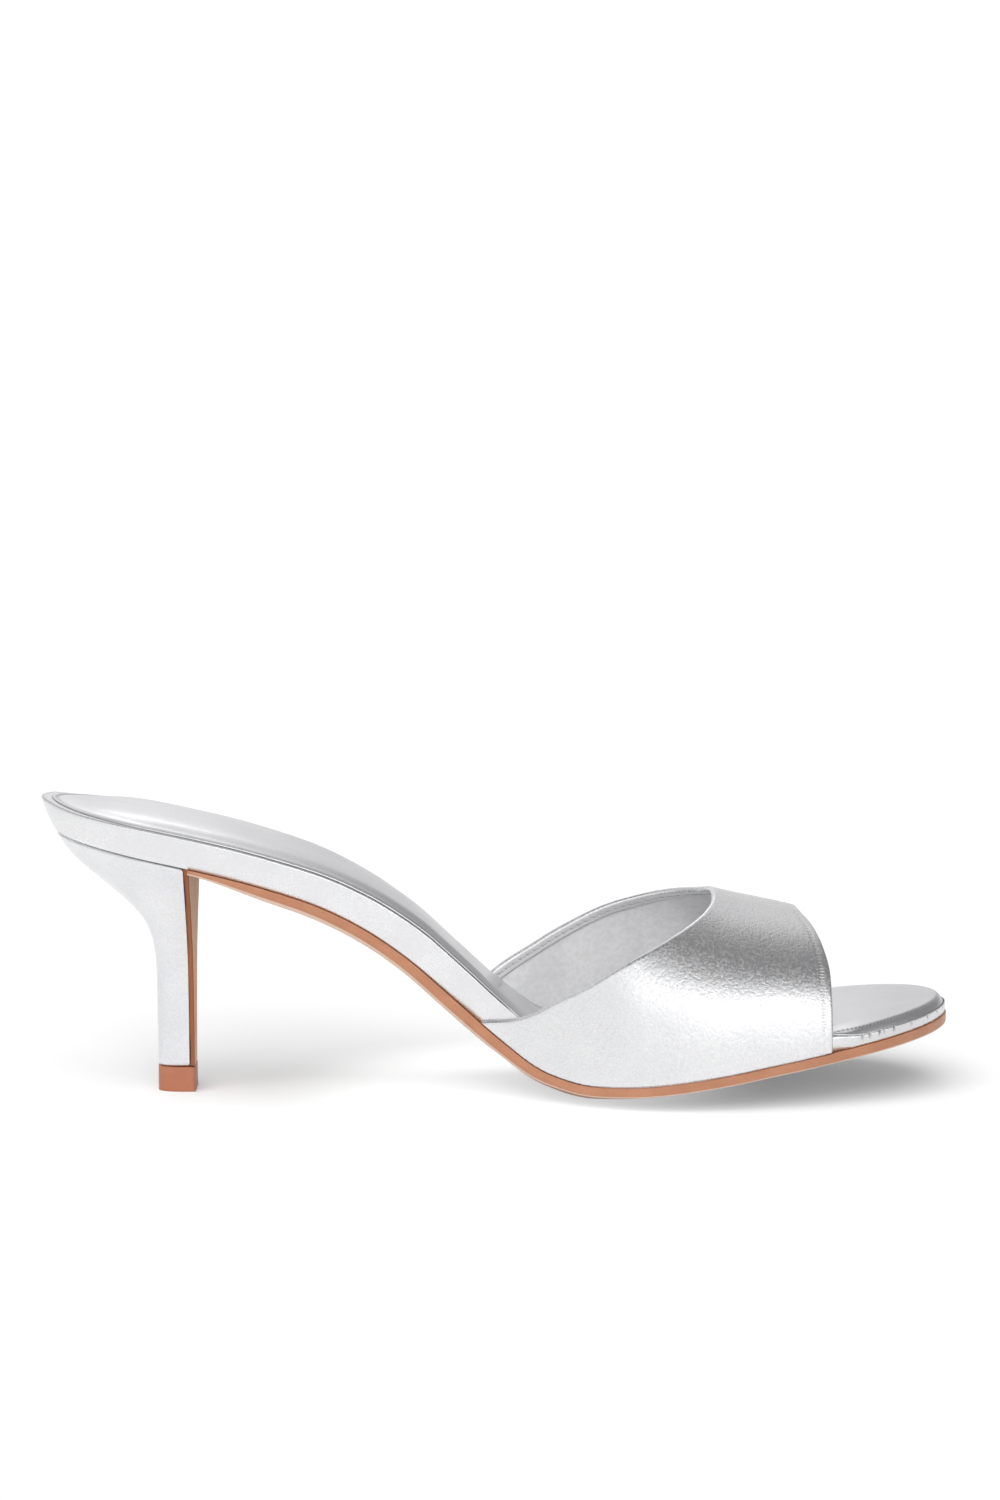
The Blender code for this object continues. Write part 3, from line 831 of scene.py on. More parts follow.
def insole_top(x, across):
    dish = TOP_DISH * forefoot(station_of(x)) * (1 - across ** 2) * toe_fade(x)
    return edge_height(x) + insole_thickness(x) - dish


def undercut(station):
    back = (SEAT_UNDERCUT - SIDE_UNDERCUT) * (1 - ease(0.0, 0.14, station))
    return back + SIDE_UNDERCUT * (1 - 0.7 * ease(0.2, 0.5, station))


def rim_inset(station):
    return VAMP_REBATE * upper_zone(station)


def sock_inset(station):
    """The sock's edge inside the rim's edge. Under the vamp it reaches out to the lining."""
    back = (SOCK_BACK_INSET - SOCK_INSET) * (1 - ease(0.0, 0.12, station))
    hidden = ease(0.49, 0.53, station) * (1 - ease(0.84, 0.87, station))
    edge = SOCK_INSET + GROOVE - 0.2 * MM - 0.4 * MM * toe_front(station)
    return edge + back + rim_inset(station) * (1 - hidden)


def pleat_depth(turn, share):
    """How far the gathered leather draws in, for a place on the rim's side."""
    depth = 0.0
    for place, width, deep in PLEATS:
        off = (turn - place) * PLAN_ROUND / (width * MM)
        depth += deep * MM * math.exp(-off * off * 2.2)
    return depth * ease(0.30, 0.85, share)


def pleat_shade(share):
    """Painted shade in the pleats, and painted darker at the toe and at the very back."""
    def mark(station, turn):
        back = (0.09 + 0.2 * ease(0.8, 1.0, share)) * (1 - ease(0.02, 0.12, station))
        return min(pleat_depth(turn, share) / (0.5 * MM) + 0.25 * toe_front(station) + back, 1.0)
    return mark


def rim_round(station):
    """Radius of the rim's top corner, smaller at the toe."""
    return RIM_ROUND * (1 - 0.5 * toe_front(station))


def toe_front(station):
    """0 up to the vamp's toe edge, 1 on the open toe."""
    return ease(0.85, 0.90, station)


def rim_level(x, across):
    """The rim's top. On the open toe the sock's round edge reaches down over it."""
    return insole_top(x, across) - TOE_DROP * toe_front(station_of(x))


def insole_side(share):
    def height(x, across, turn):
        low = bed_height(x, 1.0) + SNUG
        return mixed(low, rim_level(x, 1.0), share)
    return height


def insole_side_row(share):
    """The side bulges a little between the undercut and the rim's round corner."""
    def inset(station, turn):
        belly = 0.12 * MM * math.sin(math.pi * share)
        gather = pleat_depth(turn, share)
        return undercut(station) * (1 - share) ** 1.3 + rim_inset(station) - belly + gather
    return inset, 1.0, insole_side(share), pleat_shade(share)


def insole_round_row(share):
    """A row on the round corner, a quarter turn from the side to the top."""
    angle = math.pi / 2 * share

    def inset(station, turn):
        gather = pleat_depth(turn, 0.9) * (1 - share)
        return rim_inset(station) + rim_round(station) * (1 - math.cos(angle)) + gather

    def height(x, across, turn):
        return rim_level(x, across) - rim_round(station_of(x)) * (1 - math.sin(angle))
    return inset, 1.0, height, pleat_shade(1.0)


def insole_groove_row(extra, share, full, spine=1.0):
    """The groove beside the sock, with painted shade in it: shallow and pale round the back of the seat.
    """
    def inset(station, turn):
        return max(sock_inset(station) - GROOVE, rim_inset(station) + rim_round(station)) + extra

    def height(x, across, turn):
        deep = GROOVE_DEEP * (0.12 + 0.88 * ease(0.04, 0.24, station_of(x)))
        return rim_level(x, across) - deep * share

    # Painted shade in the groove, fainter round the back of the seat.
    def shade(station, turn):
        return full * (0.15 + 0.85 * ease(0.04, 0.34, station))
    return inset, spine, height, shade


def insole_rows():
    def foot(extra):
        return lambda station, turn: undercut(station) + rim_inset(station) + extra

    def low(x, across, turn):
        return bed_height(x, across) + SNUG

    def lip(x, across, turn):
        return rim_level(x, across) - 0.02 * MM

    rows = [(foot(0.3 * MM), share, low, 0.0) for share in (0.0, 0.3, 0.6, 0.85, 1.0)]
    rows.append((foot(0.06 * MM), 1.0, insole_side(0.012), 0.0))
    rows.append((foot(0.0), 1.0, insole_side(0.05), 0.0))
    rows += [insole_side_row(0.05 + 0.85 * k / 13) for k in range(1, 13)]
    rows += [insole_round_row(k / 6) for k in range(7)]
    inset, spine, _, shade = insole_groove_row(0.02 * MM, 0.0, 0.4)
    rows.append((inset, spine, lip, shade))
    rows.append(insole_groove_row(0.08 * MM, 0.26, 1.0))
    rows.append(insole_groove_row(0.12 * MM, 1.0, 1.0))
    rows += [insole_groove_row(0.2 * MM, 1.0, 1.0, spine) for spine in (1.0, 0.9, 0.6, 0.3, 0.0)]
    return rows


def name_mark(bm, name, scale=1.0):
    """Copy the rows' finish mark to a mark of that name."""
    mark = bm.verts.layers.float.new(name)
    finish = bm.verts.layers.float["finish"]
    for v in bm.verts:
        v[mark] = v[finish] * scale


def make_insole():
    bm = round_plan(insole_rows(), turns=toe_turns())
    # The rows' painted shade, in the pleats, the groove, at the toe and at the back, becomes the painted
    # shade mark.
    name_mark(bm, "painted_shade", 0.8)
    bmesh.ops.recalc_face_normals(bm, faces=bm.faces)
    show_piece("insole_rim", bm, silver_rim, "insole")


make_insole()

# %% [markdown]
# ## Sock
# The sheet that the foot stands on: foil leather over thin foam. Its edge is turned under, which
# makes a small rounded bead, a pricked crease runs just inside the bead, and from there the padding
# swells. The padding is a crown over the plan, highest at the seat and nearly flat at the toe.

# %% Sock
SOCK_EDGE = 0.0006
SOCK_CROWN = 0.0019
BEAD = 0.48 * MM
BEAD_TOP = SOCK_EDGE + 0.1 * MM
CREASE_OFF = 1.25 * MM
CREASE_DEEP = 0.26 * MM
SHOULDER_WIDE = 2.5 * MM
SHOULDER_HIGH = 0.8 * MM
# Places of the sock's rows, in millimetres from its edge. They are close together at the crease.
SOCK_STEPS = (0.7, 0.9, 1.05, 1.15, 1.25, 1.35, 1.5, 1.7, 2.0, 2.4, 3.0, 3.8, 5.0, 6.2)


def sock_swell(x, across):
    """Padding above the sock's edge. It rises slowly from the back of the seat."""
    station = station_of(x)
    padding = SOCK_CROWN * (1 - 0.45 * ease(0.25, 0.6, station))
    ends = min(ease(-0.01, 0.13, station), 1 - ease(0.92, 1.01, station))
    return padding * ends * (1 - across ** 4)


def painted_crease_shade(full):
    """Painted shade along the pricked crease and in the groove under the bead. It fades at the back of the
    seat and on the open toe.
    """
    return lambda station, turn: full * (ease(0.03, 0.10, station) * (1 - toe_front(station)))


def bead_rise(station):
    """The bead stands up most along the waist."""
    return 1.0 - 0.45 * (1 - ease(0.0, 0.10, station)) - 0.35 * ease(0.80, 0.92, station)


def toe_shoulder(off):
    """Height of the sock's soft round edge on the open toe, where it has no bead."""
    way = 1 - min(off / SHOULDER_WIDE, 1.0)
    return (SHOULDER_HIGH + TOE_DROP) * (1 - way * way) - TOE_DROP


def near_line(off, width):
    """1 on the crease, fading over that width to each side."""
    return math.exp(-((off - CREASE_OFF) / width) ** 2)


def sock_foot(extra):
    return lambda station, turn: sock_inset(station) + extra


def bead_row(angle, full):
    """A row on the rounded bead, by its angle from the level."""
    off = BEAD * (1 - math.cos(angle))

    def height(x, across, turn):
        bead = (BEAD_TOP - BEAD + BEAD * math.sin(angle)) * bead_rise(station_of(x))
        toe = toe_shoulder(off) if angle > 0 else -TOE_DROP - 0.3 * MM
        return insole_top(x, across) + mixed(bead, toe, toe_front(station_of(x)))
    return sock_foot(off), 1.0, height, painted_crease_shade(full)


def pad_row(off, share=1.0, full=0.0):
    """A row on the padding, that far from the sock's edge."""
    def height(x, across, turn):
        edge = BEAD_TOP * bead_rise(station_of(x)) - CREASE_DEEP * near_line(off, 0.40 * MM)
        rise = sock_swell(x, min(across, 1.0)) * ease(0.9 * MM, 6.0 * MM, off)
        return insole_top(x, across) + mixed(edge, toe_shoulder(off), toe_front(station_of(x))) + rise
    return sock_foot(off), share, height, painted_crease_shade(full)


def sock_rows():
    def seat(x, across, turn):
        return rim_level(x, across) - GROOVE_DEEP + 0.1 * MM

    # Painted shade in the groove under the bead and along the pricked crease.
    rows = [(sock_foot(0.3 * MM), share, seat, 0.0) for share in (0.0, 0.4, 0.8, 1.0)]
    rows.append((sock_foot(0.06 * MM), 1.0, seat, painted_crease_shade(0.6)))
    rows += [bead_row(math.radians(-60 + 150 * k / 9), 0.0 if k else 0.5) for k in range(10)]
    for off in SOCK_STEPS:
        rows.append(pad_row(off * MM, full=0.45 * near_line(off * MM, 0.16 * MM)))
    inner = SOCK_STEPS[-1] * MM
    rows += [pad_row(inner, share) for share in (0.93, 0.84, 0.74, 0.63, 0.5, 0.36, 0.2, 0.0)]
    return rows


def sock_finish():
    """The sock's foil, with the pricked crease beside its bead."""
    tree = silver_sock.node_tree
    bump = tree.nodes["Bump"]
    beside = minus(tree, read_mark(tree, "edge_off"), read_mark(tree, "seam_off"))
    crease = use_group(tree, pricked_line, Along=read_mark(tree, "way"), Beside=beside,
                       Step=1.1 * MM, Line_width=0.45 * MM)
    deep = minus(tree, source_of(bump, "Height"), times(tree, crease["Pit"], 0.14))
    wire(tree, deep, bump.inputs["Height"])
    return silver_sock


def make_sock():
    bm = round_plan(sock_rows())
    # The painted shade of the groove and the crease becomes the painted shade mark.
    name_mark(bm, "painted_shade")
    seam = bm.verts.layers.float.new("seam_off")
    for v in bm.verts:
        v[seam] = sock_inset(station_of(v.co.x)) + CREASE_OFF
    bmesh.ops.recalc_face_normals(bm, faces=bm.faces)
    piece = show_piece("sock_pad", bm, sock_finish(), "sock")


make_sock()

# %% [markdown]
# ## Vamp
# The one band that holds the foot. The leather is cut wide, folded over at the throat and at the
# toe, and stitched down on the lining inside. So its skin is one sheet: it starts inside the toe
# edge, turns round the fold, runs back over the outside, turns round the throat's fold and ends in
# a narrow band inside. A grid gives the sheet and Solidify gives the leather its thickness.

# %% Outside of the vamp
UPPER_WALL = 0.0018
UPPER_PROUD = 0.0009
FOLD = UPPER_WALL / 2
TUCK = 0.8 * MM
VAMP_ROUND = 110 * MM

# Soft folds and hollows: station, share of the way round, half length along the
# shoe and half height round it in millimetres, depth in millimetres (a hollow is negative).
FOLDS = (
    (0.640, 0.075, 16.0, 5.0, -0.30),
    (0.560, 0.050, 12.0, 4.0, 0.22),
    (0.720, 0.100, 14.0, 6.0, 0.18),
    (0.800, 0.060, 9.0, 4.0, -0.16),
    (0.690, 0.210, 13.0, 5.0, -0.12),
    (0.775, 0.330, 10.0, 7.0, 0.12),
    (0.655, 0.930, 15.0, 5.0, -0.28),
    (0.740, 0.880, 12.0, 6.0, 0.16),
)


def vamp_skin(station, turn):
    """A point on the plain outside of the vamp."""
    reach = UPPER_PROUD * (0.4 + 0.6 * ease(0.478, 0.57, station))
    height = VAMP_HEIGHT * ridge_share(station)
    angle = math.pi * turn
    side = -1 if turn < 0.5 else 1
    foot = side * (half_width(station, side) + reach)
    y = RIDGE_SHIFT + (foot - RIDGE_SHIFT) * abs(math.cos(angle)) ** SIDE_BULGE
    z = height * max(math.sin(angle), 0.0) ** SIDE_BULGE
    return Vector((x_of(station), y, edge_height(x_of(station)) + GAP / 2 + z))


def vamp_out(station, turn):
    """Direction square to the vamp, outwards."""
    step = 0.0006
    up = vamp_skin(station, min(turn + step, 1.0)) - vamp_skin(station, max(turn - step, 0.0))
    ahead = vamp_skin(station + step, turn) - vamp_skin(station - step, turn)
    return ahead.cross(up).normalized()


def fold_relief(station, turn):
    rise = 0.0
    for s, t, long, high, deep in FOLDS:
        a = (station - s) * LENGTH / (long * MM)
        b = (turn - t) * VAMP_ROUND / (high * MM)
        rise += deep * MM * math.exp(-a * a - b * b)
    return rise


def vamp_point(station, turn, depth):
    """A point that deep under the vamp's outside. Its foot turns in over the sole."""
    out = vamp_out(station, turn)
    point = vamp_skin(station, turn)
    over_foot = point.z - edge_height(point.x) - GAP / 2
    outer = max(1 - depth / (2 * FOLD), 0.0)
    if over_foot < TUCK:
        inward = TUCK - math.sqrt(max(TUCK ** 2 - (TUCK - over_foot) ** 2, 0.0))
        point.y -= math.copysign(inward * outer, point.y)
    return point + out * (fold_relief(station, turn) * outer - depth)


def edge_step(edge, turn):
    """Stations for each metre square to an edge of the vamp."""
    step = 0.001
    low = max(turn - step, 0.0)
    high = min(turn + step, 1.0)
    station = edge(turn)
    along = vamp_skin(edge(high), high) - vamp_skin(edge(low), low)
    ahead = (vamp_skin(station + step, turn) - vamp_skin(station - step, turn)) / (2 * step)
    square = ahead - along * (ahead.dot(along) / along.length_squared)
    return 1 / square.length


# %% Rows of the vamp's sheet
THROAT_BAND = 3.2 * MM
TOE_BAND = 2.6 * MM
SEAM_OFF = 1.9 * MM
STITCH_STEP = 2.2 * MM
ROUND_VAMP = 260
ALONG_VAMP = 96
SKIN = 0.45 * MM
HIGH_VAMP = 45 * MM


def fold_row(share):
    """Distance from the edge and depth, share of the way round a fold from outside to inside."""
    angle = math.pi * share
    return FOLD * (1 - math.sin(angle)), FOLD * (1 - math.cos(angle))


def vamp_rows():
    """Each row: the edge it is measured from, distance from it, depth, and the painted shade at the folds.
    """
    rows = [("toe", off, 2 * FOLD, 0.3) for off in (TOE_BAND, TOE_BAND * 0.75, TOE_BAND * 0.5)]
    rows += [("toe", *fold_row(1 - k / 8), 1 - ease(4, 8, k)) for k in range(8)]
    rows += [("skin", k / ALONG_VAMP, 0.0, 0.0) for k in range(ALONG_VAMP + 1)]
    rows += [("throat", *fold_row(k / 10), 0.3 * ease(4, 9, k)) for k in range(1, 11)]
    rows += [("throat", off * MM, 2 * FOLD, 0.0) for off in (1.2, 1.5, 1.7, 1.9, 2.1, 2.3, 2.6, 2.9)]
    rows.append(("throat", THROAT_BAND, 2 * FOLD, 0.0))
    return rows


def vamp_turns(count):
    """Columns are closer together at the vamp's two feet."""
    return [0.5 - 0.5 * math.cos(math.pi * column / count) for column in range(count + 1)]


def throat_run(turns):
    return run_along([vamp_skin(throat(turn), turn) for turn in turns])


def turn_out(bm, sense=1):
    """Turn the sheet so that its highest faces look up, or down where sense is -1."""
    bm.normal_update()
    high = [f for f in bm.faces if f.calc_center_median().z > HIGH_VAMP]
    if sense * sum(f.normal.z * f.calc_area() for f in high) < 0:
        bmesh.ops.reverse_faces(bm, faces=bm.faces)


def thicken(piece, wall):
    solid = piece.modifiers.new("thickness", "SOLIDIFY")
    solid.thickness = wall
    solid.offset = -1.0
    solid.use_even_offset = True


# %% Finish of the vamp
def band_finish():
    """The vamp's foil. The inside band is calmer and pricked, with painted shade in its stitch pits, and
    both edges are ironed flat.
    """
    tree, shader = nodes_of(silver_band)
    bump = tree.nodes["Bump"]
    way = read_mark(tree, "way")
    throat_off = read_mark(tree, "edge_off")
    toe_off = read_mark(tree, "toe_off")
    depth = read_mark(tree, "inside")
    inside = spread(tree, depth, 0.9, 1.0, 0.0, 1.0)
    outside = spread(tree, depth, 0.0, 0.1, 1.0, 0.0)
    fading = spread(tree, depth, 0.6, 1.0, 1.0, 0.4)
    seam = use_group(tree, pricked_line, Along=way, Beside=minus(tree, throat_off, SEAM_OFF),
                     Step=STITCH_STEP, Line_width=0.5 * MM)
    hem = use_group(tree, pricked_line, Along=way, Beside=minus(tree, toe_off, TOE_BAND),
                    Step=1.7 * MM, Line_width=0.9 * MM)
    pits = times(tree, seam["Pit"], inside)
    channel = times(tree, seam["Channel"], inside)
    sunk = plus(tree, times(tree, pits, 0.16), times(tree, channel, 0.08))
    pucker = plus(tree, times(tree, hem["Pit"], 0.05), times(tree, hem["Channel"], 0.03))
    deep = minus(tree, source_of(bump, "Height"), sunk)
    ironed = times(tree, spread(tree, throat_off, 0.0, 2.0 * MM, 0.2, 1.0),
                   spread(tree, toe_off, 0.0, 1.5 * MM, 0.3, 1.0))
    set_inputs(tree, bump, Height=minus(tree, deep, times(tree, pucker, outside)),
               Strength=times(tree, ironed, fading))
    rough = source_of(shader, "Roughness")
    calm = times(tree, minus(tree, 0.34, rough), inside)
    tone = tint(tree, times(tree, inside, 0.7), source_of(shader, "Base Color"), (0.92, 0.92, 0.925))
    # Painted shade in the stitch pits.
    tone = tint(tree, times(tree, pits, 0.6), tone, (0.16, 0.16, 0.165))
    set_inputs(tree, shader, Base_Color=tone, Roughness=plus(tree, rough, calm), Metallic=fading)
    return silver_band


# %% Vamp
def make_vamp():
    rows = vamp_rows()
    bm, (way, off, inside, painted_shade, hem) = grid_of(
        ROUND_VAMP, len(rows) - 1, "way", "edge_off", "inside", "painted_shade", "toe_off")
    turns = vamp_turns(ROUND_VAMP)
    back_steps = [edge_step(throat, turn) for turn in turns]
    toe_steps = [edge_step(toe_edge, turn) for turn in turns]
    run = throat_run(turns)
    for v in bm.verts:
        column, row = cell_of(v, ROUND_VAMP, len(rows) - 1)
        kind, share, depth, shade_at_folds = rows[row]
        turn = turns[column]
        back = throat(turn)
        front = toe_edge(turn)
        if kind == "throat":
            station = back + share * back_steps[column]
        elif kind == "toe":
            station = front - share * toe_steps[column]
        else:
            station = mixed(front - FOLD * toe_steps[column], back + FOLD * back_steps[column], share)
        v[way] = run[column]
        v[off] = (station - back) / back_steps[column]
        v[inside] = depth / (2 * FOLD)
        # Painted shade along the folded edges.
        v[painted_shade] = shade_at_folds
        v[hem] = (front - station) / toe_steps[column]
        v.co = vamp_point(station, turn, depth)
    turn_out(bm)
    piece = show_piece("vamp_leather", bm, band_finish(), "upper")
    thicken(piece, SKIN)
    print("throat edge:", round(run[-1] / MM), "mm long")


make_vamp()

# %% [markdown]
# ## Lining and stitches
# The lining is its own sheet inside the vamp, a little below the folded band, so the band's cut
# edge shows as a raised line. The stitches are real little threads: one small ball, stretched,
# repeated along the seam and joined into one mesh.

# %% Lining
LINING_DEPTH = 1.42 * MM
LINING_THICK = 0.3 * MM
LINING_TUCK = 1.6 * MM


def make_lining():
    columns = 200
    turns = vamp_turns(columns)
    bm, _ = grid_of(columns, 60)
    for v in bm.verts:
        turn = turns[round((v.co.x + 0.5) * columns)]
        first = toe_edge(turn) - LINING_TUCK * edge_step(toe_edge, turn)
        last = throat(turn) + LINING_TUCK * edge_step(throat, turn)
        v.co = vamp_point(mixed(first, last, v.co.y + 0.5), turn, LINING_DEPTH)
    turn_out(bm, -1)
    thicken(show_piece("vamp_lining", bm, silver_lining), LINING_THICK)


make_lining()

# %% Stitches
THREAD = 0.30 * MM
STITCH_LONG = STITCH_STEP * 0.74
STITCH_SLANT = math.radians(7)
# The first and last place round the throat that has a stitch.
SEWN_FROM = 0.008
SEWN_TO = 0.992


def thread_finish():
    material, tree, shader = new_material("grey_thread")
    wave = put(tree, "ShaderNodeTexWave", wave_type="BANDS", bands_direction="DIAGONAL")
    twist = set_inputs(tree, wave, Vector=object_place(tree), Scale=900.0)["Fac"]
    tone = tint(tree, twist, (0.42, 0.42, 0.43), (0.56, 0.56, 0.57))
    set_inputs(tree, shader, Base_Color=tone, Roughness=0.55)
    bump_up(tree, shader, twist, 0.05 * MM)
    return material


def seam_point(turn, depth):
    return vamp_point(throat(turn) + SEAM_OFF * edge_step(throat, turn), turn, depth)


def sew_stitch(bm, turn):
    """A small ball, stretched along the seam and laid on the band."""
    middle = seam_point(turn, 2 * FOLD + 0.02 * MM)
    along = (seam_point(turn + 0.002, 2 * FOLD) - seam_point(turn - 0.002, 2 * FOLD)).normalized()
    out = vamp_out(throat(turn), turn)
    turned = Matrix((along, out.cross(along).normalized(), out)).transposed().to_4x4()
    size = Matrix.Diagonal((STITCH_LONG / 2, THREAD / 2, THREAD * 0.36, 1.0))
    slant = Matrix.Rotation(STITCH_SLANT, 4, "Z")
    bmesh.ops.create_uvsphere(bm, u_segments=8, v_segments=6, radius=1.0,
                              matrix=Matrix.Translation(middle) @ turned @ slant @ size)


def make_stitches():
    """Stitches at even steps along the throat's edge, the same steps as the pits beside them."""
    bm = bmesh.new()
    turns = vamp_turns(2400)
    due = STITCH_STEP
    sewn = 0
    for turn, run in zip(turns, throat_run(turns)):
        if run < due:
            continue
        due += STITCH_STEP
        if SEWN_FROM <= turn <= SEWN_TO:
            sew_stitch(bm, turn)
            sewn += 1
    print("stitches along the throat:", sewn)
    show_piece("throat_stitches", bm, thread_finish())


make_stitches()

# %% [markdown]
# ## Heel
# A slim block covered with foil leather. Its section is a D: round at the back, flat at the front.
# The table says how quickly the D grows from the tip to the seat. The grid's columns run round the
# D and its rows climb the heel, and the two long front corners are then rounded with a bevel.

# %% Sections of the heel
TOP_PIECE_HEIGHT = 0.0064
TIP_DEPTH = 0.0082
TIP_WIDTH = 0.0095
HEEL_FOOT = TOP_PIECE_HEIGHT + GAP
# Level from the tip to the seat, then how far the depth and the width have grown.
HEEL = ((0.00, 0.000, 0.000), (0.25, 0.004, 0.050), (0.46, 0.012, 0.130), (0.56, 0.035, 0.210),
        (0.655, 0.105, 0.330), (0.745, 0.275, 0.490), (0.80, 0.450, 0.590), (0.85, 0.612, 0.700),
        (0.895, 0.770, 0.800), (0.94, 0.890, 0.890), (1.00, 1.000, 1.000))
heel_deep = softened(HEEL, 1, 0.045)
heel_wide = softened(HEEL, 2, 0.045)


def breast_x(y):
    """The heel's flat front. It is turned a little towards the little toe."""
    return BREAST - LENGTH / 2 + math.tan(BREAST_TURN) * y


def tip_point(share, depth):
    """Round the back of the tip, from its little-toe front corner at 0 to the other at 1."""
    angle = math.pi * share
    y = TIP_SHIFT - TIP_WIDTH / 2 * math.copysign(abs(math.cos(angle)) ** 0.7, math.cos(angle))
    return breast_x(y) - depth * max(math.sin(angle), 0.0) ** 0.7, y


def seat_point(share):
    """The insole's foot behind the heel's front, in the same order."""
    start = BREAST / LENGTH
    station = start * (1 - math.sin(math.pi * min(share, 1 - share)))
    turn = math.acos(1 - 2 * max(station, 0.0)) / (2 * math.pi)
    turn = turn if share < 0.5 else 1 - turn
    place = plan_edge(turn) + plan_inward(turn) * (undercut(station) + GAP)
    if share in (0.0, 1.0):
        place.x = breast_x(place.y)
    return place.x, place.y


def heel_point(share, level):
    deep = heel_deep(level)
    wide = heel_wide(level)
    tip_x, tip_y = tip_point(share, TIP_DEPTH)
    seat_x, seat_y = seat_point(share)
    y = mixed(tip_y, seat_y, wide)
    back = mixed(breast_x(tip_y) - tip_x, breast_x(seat_y) - seat_x, deep)
    return breast_x(y) - back, y


def rise_of(edge):
    """How far one end of an edge is above the other."""
    return abs(edge.verts[0].co.z - edge.verts[1].co.z)


def long_corners(bm, mark):
    """The upright edges whose two ends carry the mark."""
    return [e for e in bm.edges if all(v[mark] > 0.5 for v in e.verts) and rise_of(e) > 0.1 * MM]


def round_edges(bm, edges, radius):
    bmesh.ops.bevel(bm, geom=edges, offset=radius, offset_type="OFFSET", segments=3, profile=0.5,
                    affect="EDGES", material=-1, clamp_overlap=True)


# %% Heel cover
ROUND_HEEL = 96
FRONT_HEEL = 12
CLIMB_HEEL = 110
EDGE_SOFT = 0.25 * MM


def heel_ring(column, level):
    """Plan of the heel's ring at a column: round the back first, then along the front."""
    if column <= ROUND_HEEL:
        return heel_point(column / ROUND_HEEL, level)
    share = (column - ROUND_HEEL) / FRONT_HEEL
    y = mixed(heel_point(1.0, level)[1], heel_point(0.0, level)[1], share)
    return breast_x(y), y


def make_heel():
    """Two rows at each end close the heel below and above."""
    columns = ROUND_HEEL + FRONT_HEEL
    caps = 2
    bm, (corner,) = grid_of(columns, CLIMB_HEEL + 2 * caps, "corner")
    for v in bm.verts:
        column, row = cell_of(v, columns, CLIMB_HEEL + 2 * caps)
        row -= caps
        level = min(max(row / CLIMB_HEEL, 0.0), 1.0)
        outside = min(row, CLIMB_HEEL - row)
        share = 1.0 if outside >= 0 else 1 + outside / caps
        if outside == 0:
            share = 1 - EDGE_SOFT / (8 * MM if row else 4 * MM)
        x, y = heel_ring(column, level)
        middle_x = breast_x(0.0) - 0.4 * (breast_x(0.0) - heel_point(0.5, level)[0])
        middle_y = (heel_point(0.0, level)[1] + heel_point(1.0, level)[1]) / 2
        x = mixed(middle_x, x, share)
        y = mixed(middle_y, y, share)
        v[corner] = 1.0 if column in (0, ROUND_HEEL, columns) and outside >= 0 else 0.0
        v.co = (x, y, mixed(HEEL_FOOT, edge_height(x) - GAP, level))
    bmesh.ops.remove_doubles(bm, verts=bm.verts, dist=MERGE)
    bmesh.ops.recalc_face_normals(bm, faces=bm.faces)
    round_edges(bm, long_corners(bm, corner), 0.35 * MM)
    show_piece("heel_cover", bm, silver_heel, "heel")


make_heel()

# %% [markdown]
# ## Breast cover
# A strip of tan leather glued down the front of the heel. It is cut by hand, so its two side edges
# wander a little and the silver shows more here and less there.

# %% Breast cover
COVER_ROWS = 90
COVER_ACROSS = 10


def cover_wander(share):
    """How far the cut edge strays, along the strip."""
    return 0.16 * MM * math.sin(9.0 * share + 0.6) + 0.10 * MM * math.sin(23.0 * share)


def cover_ring(column, level):
    """Plan of the strip: along its back face, then along its front face."""
    first = heel_point(0.0, level)[1]
    last = heel_point(1.0, level)[1]
    count = COVER_ACROSS + 1
    back = column < count
    across = column / COVER_ACROSS if back else (2 * count - 1 - column) / COVER_ACROSS
    inset = 0.12 * MM + 0.5 * cover_wander(level)
    y = min(max(mixed(first, last, across), first + inset), last - inset)
    x = breast_x(y) + (SNUG + 0.9 * cover_wander(level) if back else GAP + COVER_THICK - SNUG)
    return x, y


def make_breast_cover():
    """The strip reaches up behind the sole's cut end, to the insole."""
    columns = 2 * (COVER_ACROSS + 1)
    bm, (corner, side) = grid_of(columns, COVER_ROWS, "corner", "finish")
    for v in bm.verts:
        column = round((v.co.x + 0.5) * columns) % columns
        share = v.co.y + 0.5
        x, y = cover_ring(column, share)
        v[corner] = 1.0 if column in (COVER_ACROSS + 1, columns - 1) else 0.0
        # The back face and the strip's cut sides carry the mark for the painted shade.
        v[side] = 1.0 if column <= COVER_ACROSS + 1 or column == columns - 1 else 0.0
        v.co = (x, y, mixed(HEEL_FOOT, edge_height(x) - SNUG, share))
    bmesh.ops.remove_doubles(bm, verts=bm.verts, dist=MERGE)
    bmesh.ops.holes_fill(bm, edges=[e for e in bm.edges if e.is_boundary], sides=0)
    bmesh.ops.recalc_face_normals(bm, faces=bm.faces)
    round_edges(bm, long_corners(bm, corner), 0.25 * MM)
    show_piece("breast_cover", bm, tan_cover, "heel_breast_cover")


make_breast_cover()

# %% [markdown]
# ## Top piece
# The wearing block under the heel: a moulded D of terracotta rubber. A circle is pressed into the
# D, extruded up, and both of its rims are rounded. The walking edge in front is a touch longer.

# %% Top piece
BACK_SHARE = 0.75
RIM_LEVEL = 0.01 * MM
FLARE = 0.12 * MM


